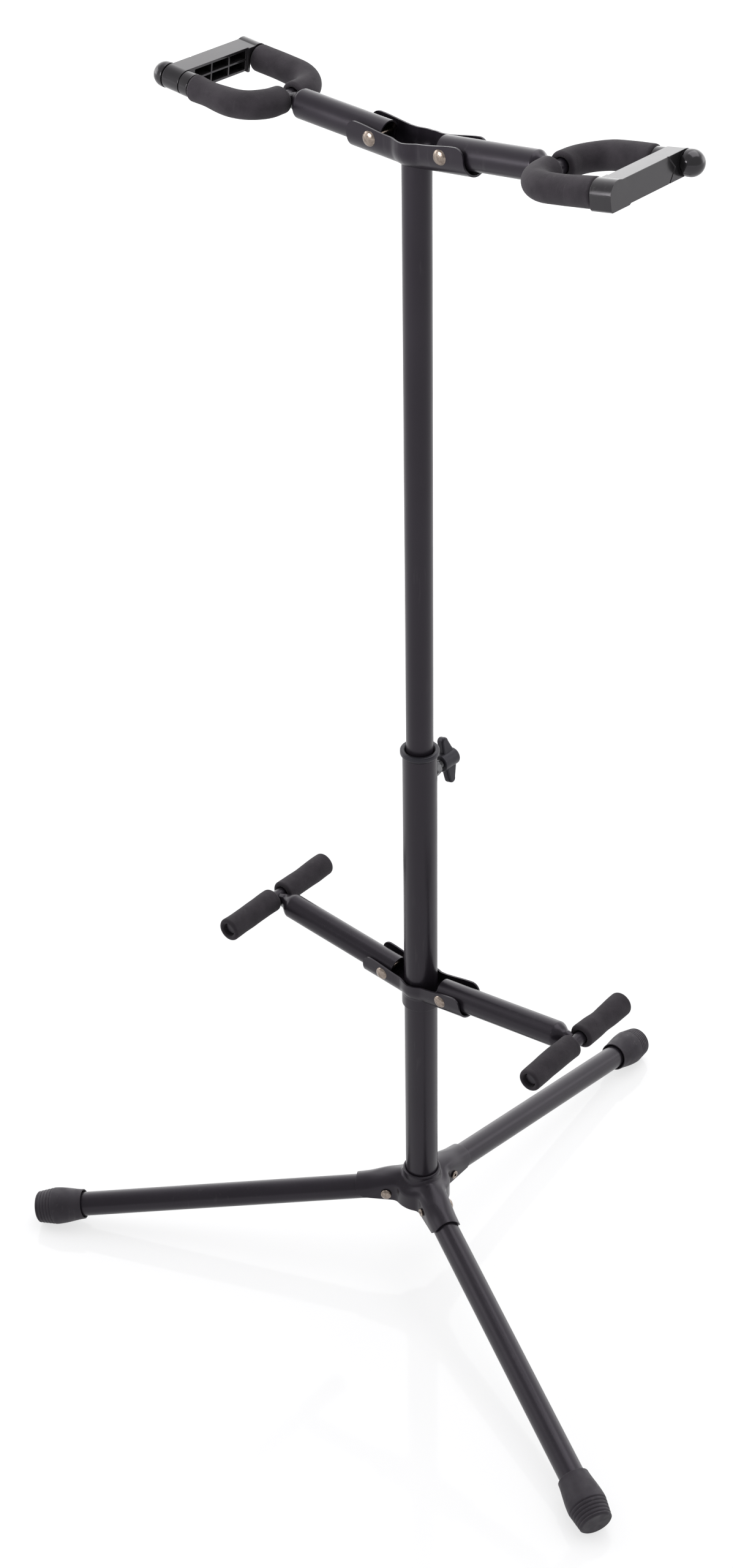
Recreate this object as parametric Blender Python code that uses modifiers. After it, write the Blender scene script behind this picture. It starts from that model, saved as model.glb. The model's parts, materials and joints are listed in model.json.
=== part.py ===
"""Double guitar stand: folding tripod, telescoping mast, two back rests and two gated neck yokes.

Lengths are in metres, +Z is up and the arms lie along X. Heights on the column are counted from
the plane of the leg rivets, and the whole stand is then set down with its box centred on the origin.
"""
import math

import bmesh
import bpy
import numpy as np
from mathutils import Matrix, Vector

MM = 0.001

# Clearances
WELD_GAP = 0.3 * MM
SLIP_GAP = 0.3 * MM
RIVET_HOLE_GAP = 0.3 * MM
CUT_OVERRUN = 2.0 * MM

# Column tubes
OUTER_TUBE_OD = 28.6 * MM
OUTER_TUBE_WALL = 1.5 * MM
OUTER_TUBE_LENGTH = 472.7 * MM
OUTER_TUBE_TAIL = 6.5 * MM
INNER_TUBE_OD = 22.2 * MM
INNER_TUBE_WALL = 1.2 * MM
INNER_TUBE_LENGTH = 558.1 * MM
MAST_OVERLAP = 60.0 * MM

# Plastic bush in the mouth of the outer tube
COLLAR_LIP_OD = 32.4 * MM
COLLAR_LIP_HEIGHT = 5.6 * MM
COLLAR_CHAMFER = 1.6 * MM
COLLAR_EDGE = 0.8 * MM
COLLAR_FUNNEL_DEPTH = 2.0 * MM
COLLAR_FUNNEL_WIDTH = 1.6 * MM
COLLAR_SLEEVE_LENGTH = 36.0 * MM
GUIDE_FLANGE = 4.0 * MM
GUIDE_SPIGOT = 14.0 * MM
GUIDE_WALL = 1.8 * MM

# Clamp screw, its weld nut and the wing knob
CLAMP_BELOW_TOP = 22.2 * MM
SCREW_DIAMETER = 8.0 * MM
SCREW_NOSE = 1.2 * MM
NUT_ACROSS_FLATS = 13.0 * MM
NUT_THICKNESS = 6.5 * MM
KNOB_STANDOFF = 11.7 * MM
KNOB_HUB_OD = 15.0 * MM
KNOB_HUB_LENGTH = 20.0 * MM
KNOB_BORE_DEPTH = 10.0 * MM
KNOB_DOME = 3.0 * MM
WING_SPAN = 41.0 * MM
WING_WIDTH = 7.0 * MM
WING_DEPTH = 9.0 * MM
WING_OFFSET = 4.2 * MM
WING_END_RADIUS = 3.8 * MM
WING_SHOULDER_INSET = 1.5 * MM
WING_EDGE = 1.2 * MM
WING_TILT = math.radians(22.0)

# Tripod
HUB_TURN = math.radians(1.8)
LEG_AZIMUTHS = {"left": math.radians(-150.0), "right": math.radians(-30.0), "back": math.radians(90.0)}
LEG_TUBE_OD = 22.2 * MM
LEG_TUBE_WALL = 1.2 * MM
LEG_SLOPE = math.radians(11.04)
LEG_PIVOT_RADIUS = 31.0 * MM
LEG_REACH = 337.6 * MM
LEG_STUB = 6.5 * MM

# Pressed tripod hub
HUB_WALL = 1.8 * MM
HUB_ARM_REACH = 60.0 * MM
HUB_SKIRT_RADIUS = 25.3 * MM
HUB_FILLET = 8.0 * MM
HUB_SHOULDER_RADIUS = 4.0 * MM
HUB_TIP_LENGTH = 8.0 * MM
HUB_WEB_SLOPE = math.radians(15.0)
HUB_BAY_SAG = 7.0 * MM
HUB_EDGE_BELOW_PIVOT = 6.9 * MM
HUB_CORNER_CUTBACK = 7.5 * MM
HUB_CORNER_HEIGHT = 10.5 * MM
HUB_NECK_RISE = 4.5 * MM
HUB_NECK_GAP = 0.6 * MM
HUB_NECK_FILLET = 2.5 * MM

# Rubber boots
BOOT_LENGTH = 45.0 * MM
BOOT_END_WALL = 3.5 * MM
BOOT_MOUTH_OD = 27.4 * MM
BOOT_BELL_OD = 34.0 * MM
BOOT_BELL_FROM_MOUTH = 27.9 * MM
BELL_POWER = 1.5
BOOT_TAPER_END_OD = 29.0 * MM
BOOT_FACE_OD = 26.4 * MM
BOOT_LIP_RECESS = 1.2 * MM
BOOT_LIP_DEPTH = 3.0 * MM
BOOT_RIBS = 5
BOOT_RIB_DEPTH = 0.35 * MM
BOOT_FLAT_DEPTH = 0.5 * MM

# Pressed cradles, one welded round the column and one on top of the mast
ARM_TUBE_OD = 22.2 * MM
ARM_TUBE_WALL = 1.2 * MM
ARM_PIVOT_REACH = 31.8 * MM
ARM_STUB = 6.3 * MM
ARM_FOLD = math.radians(86.0)
HEEL_GAP = 0.35 * MM
CRADLE_WALL = 1.5 * MM
CRADLE_SLACK = 0.9 * MM
CRADLE_REACH = 52.5 * MM
CRADLE_LIP = 1.5 * MM
LIP_POWER = 1.5
CRADLE_CORNER = 8.2 * MM
CRADLE_TOP_MID = 6.8 * MM
CRADLE_TOP_END = 8.7 * MM
CRADLE_BULGE_GAP = 0.8 * MM
CRADLE_BULGE_LENGTH = 14.5 * MM
CRADLE_TUBE_ENTRY = 3.0 * MM
LOWER_CRADLE_HEIGHT = 233.6 * MM
LOWER_ARM_SLOPE = math.radians(6.29)
UPPER_ARM_SLOPE = math.radians(4.8)

# Rivets
RIVET_SHANK_OD = 5.0 * MM
LEG_RIVET_HEAD_OD = 10.0 * MM
CRADLE_RIVET_HEAD_OD = 11.6 * MM
RIVET_HEAD_HEIGHT = 2.6 * MM
RIVET_HEAD_EDGE = 0.6 * MM
RIVET_ROLL_OD = 7.6 * MM
RIVET_ROLL_HEIGHT = 1.6 * MM
RIVET_ROLL_EDGE = 0.8 * MM
RIVET_DIMPLE = 3.0 * MM

# Back rests on the lower arms
LOWER_ARM_LENGTH = 132.7 * MM
ARM_PINCH_LENGTH = 7.5 * MM
ARM_PINCH_HEIGHT = 14.0 * MM
ARM_TIP_HEIGHT = 10.0 * MM
ROD_DIAMETER = 11.0 * MM
REST_FOAM_END = 65.5 * MM
REST_FOAM_START = 5.5 * MM
REST_ROD_RECESS = 3.5 * MM
FOAM_OD = 20.8 * MM
FOAM_ROUND = 2.0 * MM
FOAM_BORE = 12.4 * MM
FOAM_MOUTH = 1.1 * MM

# Neck yokes on the upper arms
UPPER_ARM_LENGTH = 89.7 * MM
YOKE_TILT = math.radians(2.8)
YOKE_HALF_SPREAD = 38.6 * MM
YOKE_BEND_RADIUS = 24.0 * MM
YOKE_REACH = 79.8 * MM
YOKE_FOAM_START = 5.0 * MM
PIVOT_SLEEVE_LENGTH = 8.0 * MM
PIVOT_SLEEVE_OD = 18.0 * MM
PIVOT_BEARING_OD = 14.0 * MM
PRONG_TIP_OD = 15.0 * MM
PRONG_TIP_EDGE = 1.0 * MM

# Gate bar and its domed retaining cap
GATE_DEPTH = 15.5 * MM
GATE_TOP = 9.5 * MM
GATE_BOTTOM = 8.7 * MM
GATE_WALL = 2.0 * MM
GATE_RIB = 1.5 * MM
HOOK_DEPTH = 17.0 * MM
HOOK_WALL = 2.2 * MM
HOOK_PLAY = 0.7 * MM
HOOK_LEG = 11.5 * MM
HOOK_CHAMFER = 1.5 * MM
CHEVRON_FROM_PIVOT = 12.9 * MM
CHEVRON_RISE = 7.5 * MM
CHEVRON_WIDTH = 1.2 * MM
CHEVRON_DEPTH = 0.6 * MM
CAP_DOME_OD = 18.9 * MM
CAP_NECK_OD = 15.5 * MM
CAP_NECK_LENGTH = 1.2 * MM
CAP_BODY_LENGTH = 2.6 * MM
CAP_EDGE = 0.8 * MM
CAP_ROD_DEPTH = 7.0 * MM

# Facets
COLUMN_SIDES = 20
TUBE_SIDES = 16
FOAM_SIDES = 12
ROD_SIDES = 10
SMALL_SIDES = 10
HUB_ARM_STEPS = 3
HUB_FILLET_STEPS = 2
HUB_BAY_STEPS = 2
HUB_SHOULDER_STEPS = 4
CRADLE_CORNER_STEPS = 3
CRADLE_BOTTOM_STEPS = 4
CRADLE_BULGE_STEPS = 3
CRADLE_PLATE_STEPS = 3
YOKE_BEND_STEPS = 5
ARM_OUTSIDE_STEPS = 4
ARM_INSIDE_STEPS = 2
BOOT_BELL_STEPS = 3
FOAM_RIM_STEPS = 2
WING_END_STEPS = 6
RIVET_DOME_STEPS = 3
KNOB_DOME_STEPS = 4
CAP_DOME_STEPS = 5
GATE_BARREL_STEPS = 4
GATE_HOOK_STEPS = 8
MERGE_DISTANCE = 0.005 * MM
SHARP_ANGLE = math.radians(35.0)
BEVEL_ANGLE = math.radians(60.0)

MODEL = "double_guitar_stand"
CUTTERS = "double_guitar_stand_cutters"

SATIN_BLACK = ("satin_black_steel", (0.032, 0.031, 0.034), 0.42, 0.35)
RUBBER_GREY = ("boot_rubber", (0.030, 0.030, 0.032), 0.72, 0.0)
FOAM_GREY = ("foam_charcoal", (0.045, 0.042, 0.043), 0.95, 0.0)
GLOSS_BLACK = ("moulded_black", (0.022, 0.022, 0.023), 0.28, 0.0)
KNOB_BLACK = ("knob_plastic", (0.030, 0.030, 0.031), 0.55, 0.0)
NICKEL = ("rivet_nickel", (0.52, 0.45, 0.39), 0.30, 1.0)
ZINC = ("zinc_steel", (0.45, 0.45, 0.46), 0.38, 1.0)


def clear_scene():
    """Empty the scene so that the stand is built on its own."""
    for obj in list(bpy.data.objects):
        bpy.data.objects.remove(obj, do_unlink=True)
    for name in (MODEL, CUTTERS):
        collection = bpy.data.collections.new(name)
        bpy.context.scene.collection.children.link(collection)


def material(finish):
    """One Principled material for a single object."""
    name, colour, roughness, metallic = finish
    made = bpy.data.materials.new(name)
    made.use_nodes = True
    shader = made.node_tree.nodes["Principled BSDF"]
    shader.inputs["Base Color"].default_value = (*colour, 1.0)
    shader.inputs["Roughness"].default_value = roughness
    shader.inputs["Metallic"].default_value = metallic
    return made


def empty(name, parent, location=(0, 0, 0), rotation=(0, 0, 0)):
    """A frame that carries a group of pieces, on its joint's axis where they move."""
    frame = bpy.data.objects.new(name, None)
    frame.empty_display_size = LEG_TUBE_OD
    frame.parent = parent
    frame.location = location
    frame.rotation_euler = rotation
    bpy.data.collections[MODEL].objects.link(frame)
    return frame


def place(obj, parent, location=(0, 0, 0), rotation=(0, 0, 0), finish=None):
    """Put an object into the model under its frame, with its own material."""
    bpy.data.collections[MODEL].objects.link(obj)
    obj.parent = parent
    obj.location = location
    obj.rotation_euler = rotation
    obj.data.materials.clear()
    obj.data.materials.append(material(finish))
    obj.data.shade_smooth()
    obj.data.set_sharp_from_angle(angle=SHARP_ANGLE)
    return obj


def cutter(obj, parent, location=(0, 0, 0), rotation=(0, 0, 0)):
    """Put an object into the cutters' collection, out of sight of the build."""
    bpy.data.collections[CUTTERS].objects.link(obj)
    obj.parent = parent
    obj.location = location
    obj.rotation_euler = rotation
    obj.hide_render = True
    obj.display_type = "WIRE"
    return obj


def boolean(obj, other, operation="DIFFERENCE"):
    """Cut or join one closed solid with another."""
    step = obj.modifiers.new(f"{operation.lower()} {other.name}", "BOOLEAN")
    step.operation = operation
    step.solver = "EXACT"
    step.object = other


def mesh_object(name, points, faces):
    """An object from points and faces."""
    mesh = bpy.data.meshes.new(name)
    mesh.from_pydata([tuple(p) for p in points], [], faces)
    mesh.validate()
    mesh.update()
    return bpy.data.objects.new(name, mesh)


def turned(name, profile, sides, hollow=False):
    """A turned solid: (radius, height) points run down the outer side and, if hollow, back up inside."""
    count = len(profile)
    edges = [(i, i + 1) for i in range(count - 1)]
    if hollow:
        edges.append((count - 1, 0))
    mesh = bpy.data.meshes.new(name)
    mesh.from_pydata([(radius, 0.0, height) for radius, height in profile], edges, [])
    obj = bpy.data.objects.new(name, mesh)
    spin = obj.modifiers.new("turn", "SCREW")
    spin.axis = "Z"
    spin.steps = sides
    spin.render_steps = sides
    spin.use_merge_vertices = True
    spin.merge_threshold = MERGE_DISTANCE
    return obj


def outline(name, points, depth):
    """A flat outline in its own XY plane, thickened by depth about that plane."""
    curve = bpy.data.curves.new(name, "CURVE")
    curve.dimensions = "2D"
    curve.fill_mode = "BOTH"
    curve.extrude = depth / 2
    spline = curve.splines.new("POLY")
    spline.points.add(len(points) - 1)
    for point, (x, y) in zip(spline.points, points):
        point.co = (x, y, 0.0, 1.0)
    spline.use_cyclic_u = True
    return as_mesh(bpy.data.objects.new(name, curve))


def bent_rod(name, points, radius, sides, shrinks=None):
    """A round bar along a path, with filled caps; shrinks gives a share of the radius at each point."""
    curve = bpy.data.curves.new(name, "CURVE")
    curve.dimensions = "3D"
    curve.bevel_depth = radius
    curve.bevel_resolution = (sides - 4) // 2
    curve.use_fill_caps = True
    spline = curve.splines.new("POLY")
    spline.points.add(len(points) - 1)
    for point, position, shrink in zip(spline.points, points, shrinks or [1.0] * len(points)):
        point.co = (*position, 1.0)
        point.radius = shrink
    return as_mesh(bpy.data.objects.new(name, curve))


def as_mesh(obj):
    """Turn a curve object into a mesh object whose caps are welded."""
    bpy.context.scene.collection.objects.link(obj)
    bpy.context.view_layer.update()
    evaluated = obj.evaluated_get(bpy.context.evaluated_depsgraph_get())
    mesh = bpy.data.meshes.new_from_object(evaluated)
    name = obj.name
    curve = obj.data
    bpy.data.objects.remove(obj)
    bpy.data.curves.remove(curve)
    welded = bpy.data.objects.new(name, mesh)
    weld = welded.modifiers.new("weld caps", "WELD")
    weld.merge_threshold = MERGE_DISTANCE
    return welded


def box(name, low, high):
    """A box between two corners."""
    low, high = Vector(low), Vector(high)
    shape = bmesh.new()
    bmesh.ops.create_cube(shape, size=1.0, matrix=Matrix.LocRotScale((low + high) / 2, None, high - low))
    return primitive_object(name, shape)


def cylinder(name, radius, low, high, sides):
    """A cylinder along Z between two heights."""
    shape = bmesh.new()
    bmesh.ops.create_cone(shape, cap_ends=True, segments=sides, radius1=radius, radius2=radius,
                          depth=high - low, matrix=Matrix.Translation((0.0, 0.0, (low + high) / 2)))
    return primitive_object(name, shape)


def primitive_object(name, shape):
    """An object from a finished bmesh."""
    mesh = bpy.data.meshes.new(name)
    shape.to_mesh(mesh)
    shape.free()
    return bpy.data.objects.new(name, mesh)


def tube_profile(outer_diameter, wall, low, high):
    """Closed profile of a plain tube's wall."""
    outer = outer_diameter / 2
    inner = outer - wall
    return [(outer, high), (outer, low), (inner, low), (inner, high)]


def arc(centre, radius, start, end, steps, radius_y=None):
    """Points on a circle or ellipse between two angles, both ends included."""
    angles = np.linspace(start, end, steps + 1)
    return [(centre[0] + radius * math.cos(a), centre[1] + (radius_y or radius) * math.sin(a)) for a in angles]


def dome(radius, base, rise, steps):
    """Profile of an elliptical dome from its crown on the axis down to its rim."""
    rim = arc((0.0, base), radius, math.pi / 2, 0.0, steps, rise)
    return [(0.0, base + rise)] + rim[1:]


def smoothstep(low, high, value):
    """Rise from 0 to 1 with level ends between two values."""
    share = min(max((value - low) / (high - low), 0.0), 1.0)
    return share * share * (3.0 - 2.0 * share)


def leg_channel_half_width():
    """Outer half width of the hub's arms, which take a leg tube between their walls."""
    return LEG_TUBE_OD / 2 + SLIP_GAP + HUB_WALL


def neck_radius():
    """Outer radius of the hub's neck, which stands round the column."""
    return OUTER_TUBE_OD / 2 + HUB_NECK_GAP + HUB_WALL


def leg_axis_height(radius):
    """Height of a leg's centre line at a distance from the column's axis."""
    return (LEG_PIVOT_RADIUS - radius) * math.tan(LEG_SLOPE)


def web_height(radius):
    """Height of the ridge of a hub arm, which closes on the leg tube at the arm's end."""
    at_end = leg_axis_height(HUB_ARM_REACH) + leg_channel_half_width() / math.cos(LEG_SLOPE) + SLIP_GAP
    return at_end + (HUB_ARM_REACH - radius) * math.tan(HUB_WEB_SLOPE)


def hub_columns():
    """Outline of half a bay between two arms: edge point, inward direction and depth of each column.

    The edge runs in from the arm's end, round a hollow fillet and along the skirt to the middle of the
    bay. Each column runs from that edge inwards to the arm's centre line or to the neck.
    """
    half = leg_channel_half_width()
    neck = neck_radius()
    centre_y = half + HUB_FILLET
    centre_x = math.sqrt((HUB_SKIRT_RADIUS + HUB_FILLET) ** 2 - centre_y ** 2)
    columns = []
    for x in np.linspace(HUB_ARM_REACH, centre_x, HUB_ARM_STEPS + 1)[:-1]:
        columns.append(((x, half), (0.0, -1.0), half))
    to_corner = math.atan2(-centre_y, neck - centre_x)
    to_axis = math.atan2(-centre_y, -centre_x)
    first = list(np.linspace(-math.pi / 2, to_corner, HUB_FILLET_STEPS + 1))
    second = list(np.linspace(to_corner, to_axis, HUB_FILLET_STEPS + 1))[1:]
    for angle in first + second:
        direction = (math.cos(angle), math.sin(angle))
        edge = (centre_x + HUB_FILLET * direction[0], centre_y + HUB_FILLET * direction[1])
        along = edge[0] * direction[0] + edge[1] * direction[1]
        gap = edge[0] ** 2 + edge[1] ** 2 - neck ** 2
        if angle >= to_corner:
            depth = -edge[1] / direction[1]
        else:
            depth = -along - math.sqrt(max(along ** 2 - gap, 0.0))
        columns.append((edge, direction, depth))
    for azimuth in np.linspace(math.atan2(centre_y, centre_x), math.pi / 3, HUB_BAY_STEPS + 1)[1:]:
        outward = (math.cos(azimuth), math.sin(azimuth))
        edge = (HUB_SKIRT_RADIUS * outward[0], HUB_SKIRT_RADIUS * outward[1])
        columns.append((edge, (-outward[0], -outward[1]), HUB_SKIRT_RADIUS - neck))
    return columns, centre_x


def hub_surface_height(x, y, depth, shoulder):
    """Height of the pressed web at a point, rounded over a shoulder towards the edge."""
    radius = math.hypot(x, y)
    azimuth = math.atan2(y, x)
    inner_end = HUB_SKIRT_RADIUS
    outer_end = HUB_ARM_REACH - HUB_TIP_LENGTH
    sag = HUB_BAY_SAG * radius / HUB_SKIRT_RADIUS * (1.0 - smoothstep(inner_end, outer_end, radius))
    height = web_height(radius) - sag * (1.0 - math.cos(3.0 * azimuth)) / 2
    short = shoulder - min(depth, shoulder)
    height += math.sqrt(max(shoulder ** 2 - short ** 2, 0.0)) - shoulder
    from_neck = radius - neck_radius()
    if from_neck < HUB_NECK_FILLET:
        missing = HUB_NECK_FILLET - max(from_neck, 0.0)
        height += HUB_NECK_FILLET - math.sqrt(HUB_NECK_FILLET ** 2 - missing ** 2)
    return height


def hub_half_bay():
    """Rows of surface points of half a bay, from the lower edge up to the centre line or neck."""
    columns, fillet_x = hub_columns()
    half = leg_channel_half_width()
    neck_top = web_height(neck_radius()) + HUB_NECK_RISE
    rings = []
    for (edge, direction, depth) in columns:
        spread = smoothstep(HUB_SKIRT_RADIUS, HUB_ARM_REACH - HUB_TIP_LENGTH, math.hypot(*edge))
        shoulder = HUB_SHOULDER_RADIUS + (half - HUB_SHOULDER_RADIUS) * spread
        ring = []
        for angle in np.linspace(0.0, math.pi / 2, HUB_SHOULDER_STEPS + 1):
            inward = depth * (1.0 - math.cos(angle))
            x = edge[0] + direction[0] * inward
            y = edge[1] + direction[1] * inward
            ring.append([x, y, hub_surface_height(x, y, inward, shoulder)])
        ring.insert(0, [edge[0], edge[1], -HUB_EDGE_BELOW_PIVOT])
        for point in ring:
            if edge[0] > fillet_x and edge[1] == half:
                point[0] = hub_end_trim(point[0], point[2], fillet_x)
        on_neck = abs(math.hypot(ring[-1][0], ring[-1][1]) - neck_radius()) < 0.001 * MM
        ring.append([ring[-1][0], ring[-1][1], neck_top] if on_neck else None)
        rings.append(ring)
    return rings


def hub_end_trim(x, height, fillet_x):
    """Draw the lower corner of an arm's open end back along a curve."""
    start = leg_axis_height(HUB_ARM_REACH) + HUB_CORNER_HEIGHT
    short = min(max((start - height) / (start + HUB_EDGE_BELOW_PIVOT), 0.0), 1.0)
    end = HUB_ARM_REACH - HUB_CORNER_CUTBACK * short ** 2
    return fillet_x + (x - fillet_x) * (end - fillet_x) / (HUB_ARM_REACH - fillet_x)


def hub_sheet():
    """The hub's outer skin: six half bays turned and mirrored round the column and sewn together."""
    half_bay = hub_half_bay()
    index = {}
    points = []
    faces = []

    def point_index(point, turn, mirror):
        y = -point[1] if mirror else point[1]
        x = point[0] * math.cos(turn) - y * math.sin(turn)
        y = point[0] * math.sin(turn) + y * math.cos(turn)
        key = (round(x / MM, 3), round(y / MM, 3), round(point[2] / MM, 3))
        if key not in index:
            index[key] = len(points)
            points.append((x, y, point[2]))
        return index[key]

    for azimuth in LEG_AZIMUTHS.values():
        for mirror in (False, True):
            turn = azimuth + HUB_TURN
            for left, right in zip(half_bay[:-1], half_bay[1:]):
                for row in range(len(left) - 1):
                    quad = (left[row], right[row], right[row + 1], left[row + 1])
                    if None in quad:
                        continue
                    corners = [point_index(p, turn, mirror) for p in quad]
                    corners = list(dict.fromkeys(corners))
                    if len(corners) > 2:
                        faces.append(corners[::-1] if mirror else corners)
    return points, faces


def build_hub(base):
    """Pressed tripod hub: one sheet with three downward channels and a neck round the column."""
    points, faces = hub_sheet()
    hub = mesh_object("tripod_hub", points, faces)
    shell = hub.modifiers.new("sheet thickness", "SOLIDIFY")
    shell.thickness = HUB_WALL
    shell.offset = -1.0
    shell.use_even_offset = True
    place(hub, base, finish=SATIN_BLACK)
    reach = leg_channel_half_width() + CUT_OVERRUN
    for side in LEG_AZIMUTHS:
        radius = RIVET_SHANK_OD / 2 + RIVET_HOLE_GAP
        hole = cylinder(f"hub_rivet_hole_{side}", radius, -reach, reach, SMALL_SIDES)
        azimuth = LEG_AZIMUTHS[side] + HUB_TURN
        spot = (LEG_PIVOT_RADIUS * math.cos(azimuth), LEG_PIVOT_RADIUS * math.sin(azimuth), 0)
        cutter(hole, base, spot, (-math.pi / 2, 0, azimuth))
        boolean(hub, hole)
    return hub


def rivet(name, head_od, half_grip):
    """A rivet along Z: domed head above the grip, rolled hollow end below it."""
    shank = RIVET_SHANK_OD / 2
    head = half_grip + WELD_GAP
    tail = -half_grip - WELD_GAP
    dimple = RIVET_DIMPLE / 2
    roll = RIVET_ROLL_OD / 2
    foot = tail - RIVET_ROLL_HEIGHT
    profile = dome(head_od / 2, head + RIVET_HEAD_EDGE, RIVET_HEAD_HEIGHT - RIVET_HEAD_EDGE,
                   RIVET_DOME_STEPS)
    profile += [(head_od / 2, head), (shank, head), (shank, tail), (roll, tail), (roll, foot + RIVET_ROLL_EDGE),
                (roll - RIVET_ROLL_EDGE, foot), (dimple, foot), (dimple, tail), (0, tail)]
    return turned(name, profile, SMALL_SIDES)


def build_column(base):
    """Outer column tube with the clamp screw's hole through its wall."""
    top = column_top()
    profile = tube_profile(OUTER_TUBE_OD, OUTER_TUBE_WALL, -OUTER_TUBE_TAIL, top)
    tube = turned("outer_tube", profile, COLUMN_SIDES, hollow=True)
    place(tube, base, finish=SATIN_BLACK)
    boolean(tube, clamp_hole("outer_tube_clamp_hole", base))
    return tube


def column_top():
    """Height of the outer tube's mouth."""
    return OUTER_TUBE_LENGTH - OUTER_TUBE_TAIL


def clamp_hole(name, base):
    """Cutter for the clamp screw, from the column's axis out to the nut."""
    radius = SCREW_DIAMETER / 2 + SLIP_GAP
    hole = cylinder(name, radius, 0.0, OUTER_TUBE_OD / 2 + CUT_OVERRUN, SMALL_SIDES)
    return cutter(hole, base, (0, 0, column_top() - CLAMP_BELOW_TOP), (-math.pi / 2, 0, 0))


def build_collar(base):
    """Flanged plastic bush that guides the mast in the mouth of the outer tube."""
    top = column_top()
    sleeve = OUTER_TUBE_OD / 2 - OUTER_TUBE_WALL - WELD_GAP
    bore = INNER_TUBE_OD / 2 + SLIP_GAP
    lip = COLLAR_LIP_OD / 2
    seat = top + WELD_GAP
    rim = seat + COLLAR_LIP_HEIGHT
    profile = [(lip - COLLAR_EDGE, rim), (lip, rim - COLLAR_EDGE), (lip, seat + COLLAR_CHAMFER),
               (OUTER_TUBE_OD / 2 + WELD_GAP, seat), (sleeve, seat),
               (sleeve, top - COLLAR_SLEEVE_LENGTH), (bore, top - COLLAR_SLEEVE_LENGTH),
               (bore, rim - COLLAR_FUNNEL_DEPTH), (bore + COLLAR_FUNNEL_WIDTH, rim)]
    collar = turned("tube_collar", profile, COLUMN_SIDES, hollow=True)
    place(collar, base, finish=KNOB_BLACK)
    boolean(collar, clamp_hole("tube_collar_clamp_hole", base))
    return collar


def build_clamp(base, clamp):
    """Weld nut on the column, and the clamp screw with its wing knob along the clamp's own Z."""
    wall = OUTER_TUBE_OD / 2
    corner = NUT_ACROSS_FLATS / math.sqrt(3.0)
    hexagon = [(corner * math.cos(a), corner * math.sin(a)) for a in np.arange(6) * math.pi / 3]
    nut = outline("clamp_nut", hexagon, NUT_THICKNESS)
    seat = wall + WELD_GAP + NUT_THICKNESS / 2
    height = column_top() - CLAMP_BELOW_TOP
    place(nut, base, (0, seat, height), (-math.pi / 2, 0, 0), ZINC)
    boolean(nut, cutter(cylinder("clamp_nut_bore", SCREW_DIAMETER / 2 + SLIP_GAP, -NUT_THICKNESS,
                                 NUT_THICKNESS, SMALL_SIDES), base, (0, seat, height), (-math.pi / 2, 0, 0)))
    tip = INNER_TUBE_OD / 2 + SLIP_GAP
    boss = wall + KNOB_STANDOFF
    screw_end = boss + KNOB_BORE_DEPTH - WELD_GAP
    radius = SCREW_DIAMETER / 2
    screw = turned("clamp_screw", [(0, screw_end), (radius, screw_end), (radius, tip + SCREW_NOSE),
                                   (radius - SCREW_NOSE, tip), (0, tip)], SMALL_SIDES)
    place(screw, clamp, finish=ZINC)
    build_knob(clamp, boss)


def build_knob(clamp, boss):
    """Wing knob: a domed hub with two tapered wings, moulded round the screw's head."""
    hub = KNOB_HUB_OD / 2
    crown = boss + KNOB_HUB_LENGTH
    profile = dome(hub, crown - KNOB_DOME, KNOB_DOME, KNOB_DOME_STEPS) + [(hub, boss), (0, boss)]
    knob = turned("wing_knob", profile, TUBE_SIDES)
    place(knob, clamp, finish=KNOB_BLACK)
    half = WING_SPAN / 2
    inner = boss + WING_OFFSET
    outer = inner + WING_DEPTH
    middle = (inner + outer) / 2
    shoulder = (hub - WING_SHOULDER_INSET, crown - KNOB_DOME)
    right = [(hub, inner)] + arc((half - WING_END_RADIUS, middle), WING_END_RADIUS, -math.pi / 2, math.pi / 2,
                                 WING_END_STEPS)
    right.append(shoulder)
    left = [(-s, h) for s, h in reversed(right)]
    blade = outline("wing_blade", right + left, WING_WIDTH)
    soften = blade.modifiers.new("soft edges", "BEVEL")
    soften.width = WING_EDGE
    soften.segments = 1
    soften.limit_method = "ANGLE"
    soften.angle_limit = BEVEL_ANGLE
    cutter(blade, clamp, rotation=(math.pi / 2, 0, 0))
    boolean(knob, blade, "UNION")
    bore = cylinder("wing_knob_bore", SCREW_DIAMETER / 2 + WELD_GAP, boss - CUT_OVERRUN,
                    boss + KNOB_BORE_DEPTH, SMALL_SIDES)
    boolean(knob, cutter(bore, clamp))
    return knob


def cradle_outer_radius():
    """Outer radius of the cradles' round bottom, which takes an arm tube."""
    return ARM_TUBE_OD / 2 + CRADLE_SLACK + CRADLE_WALL


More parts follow.
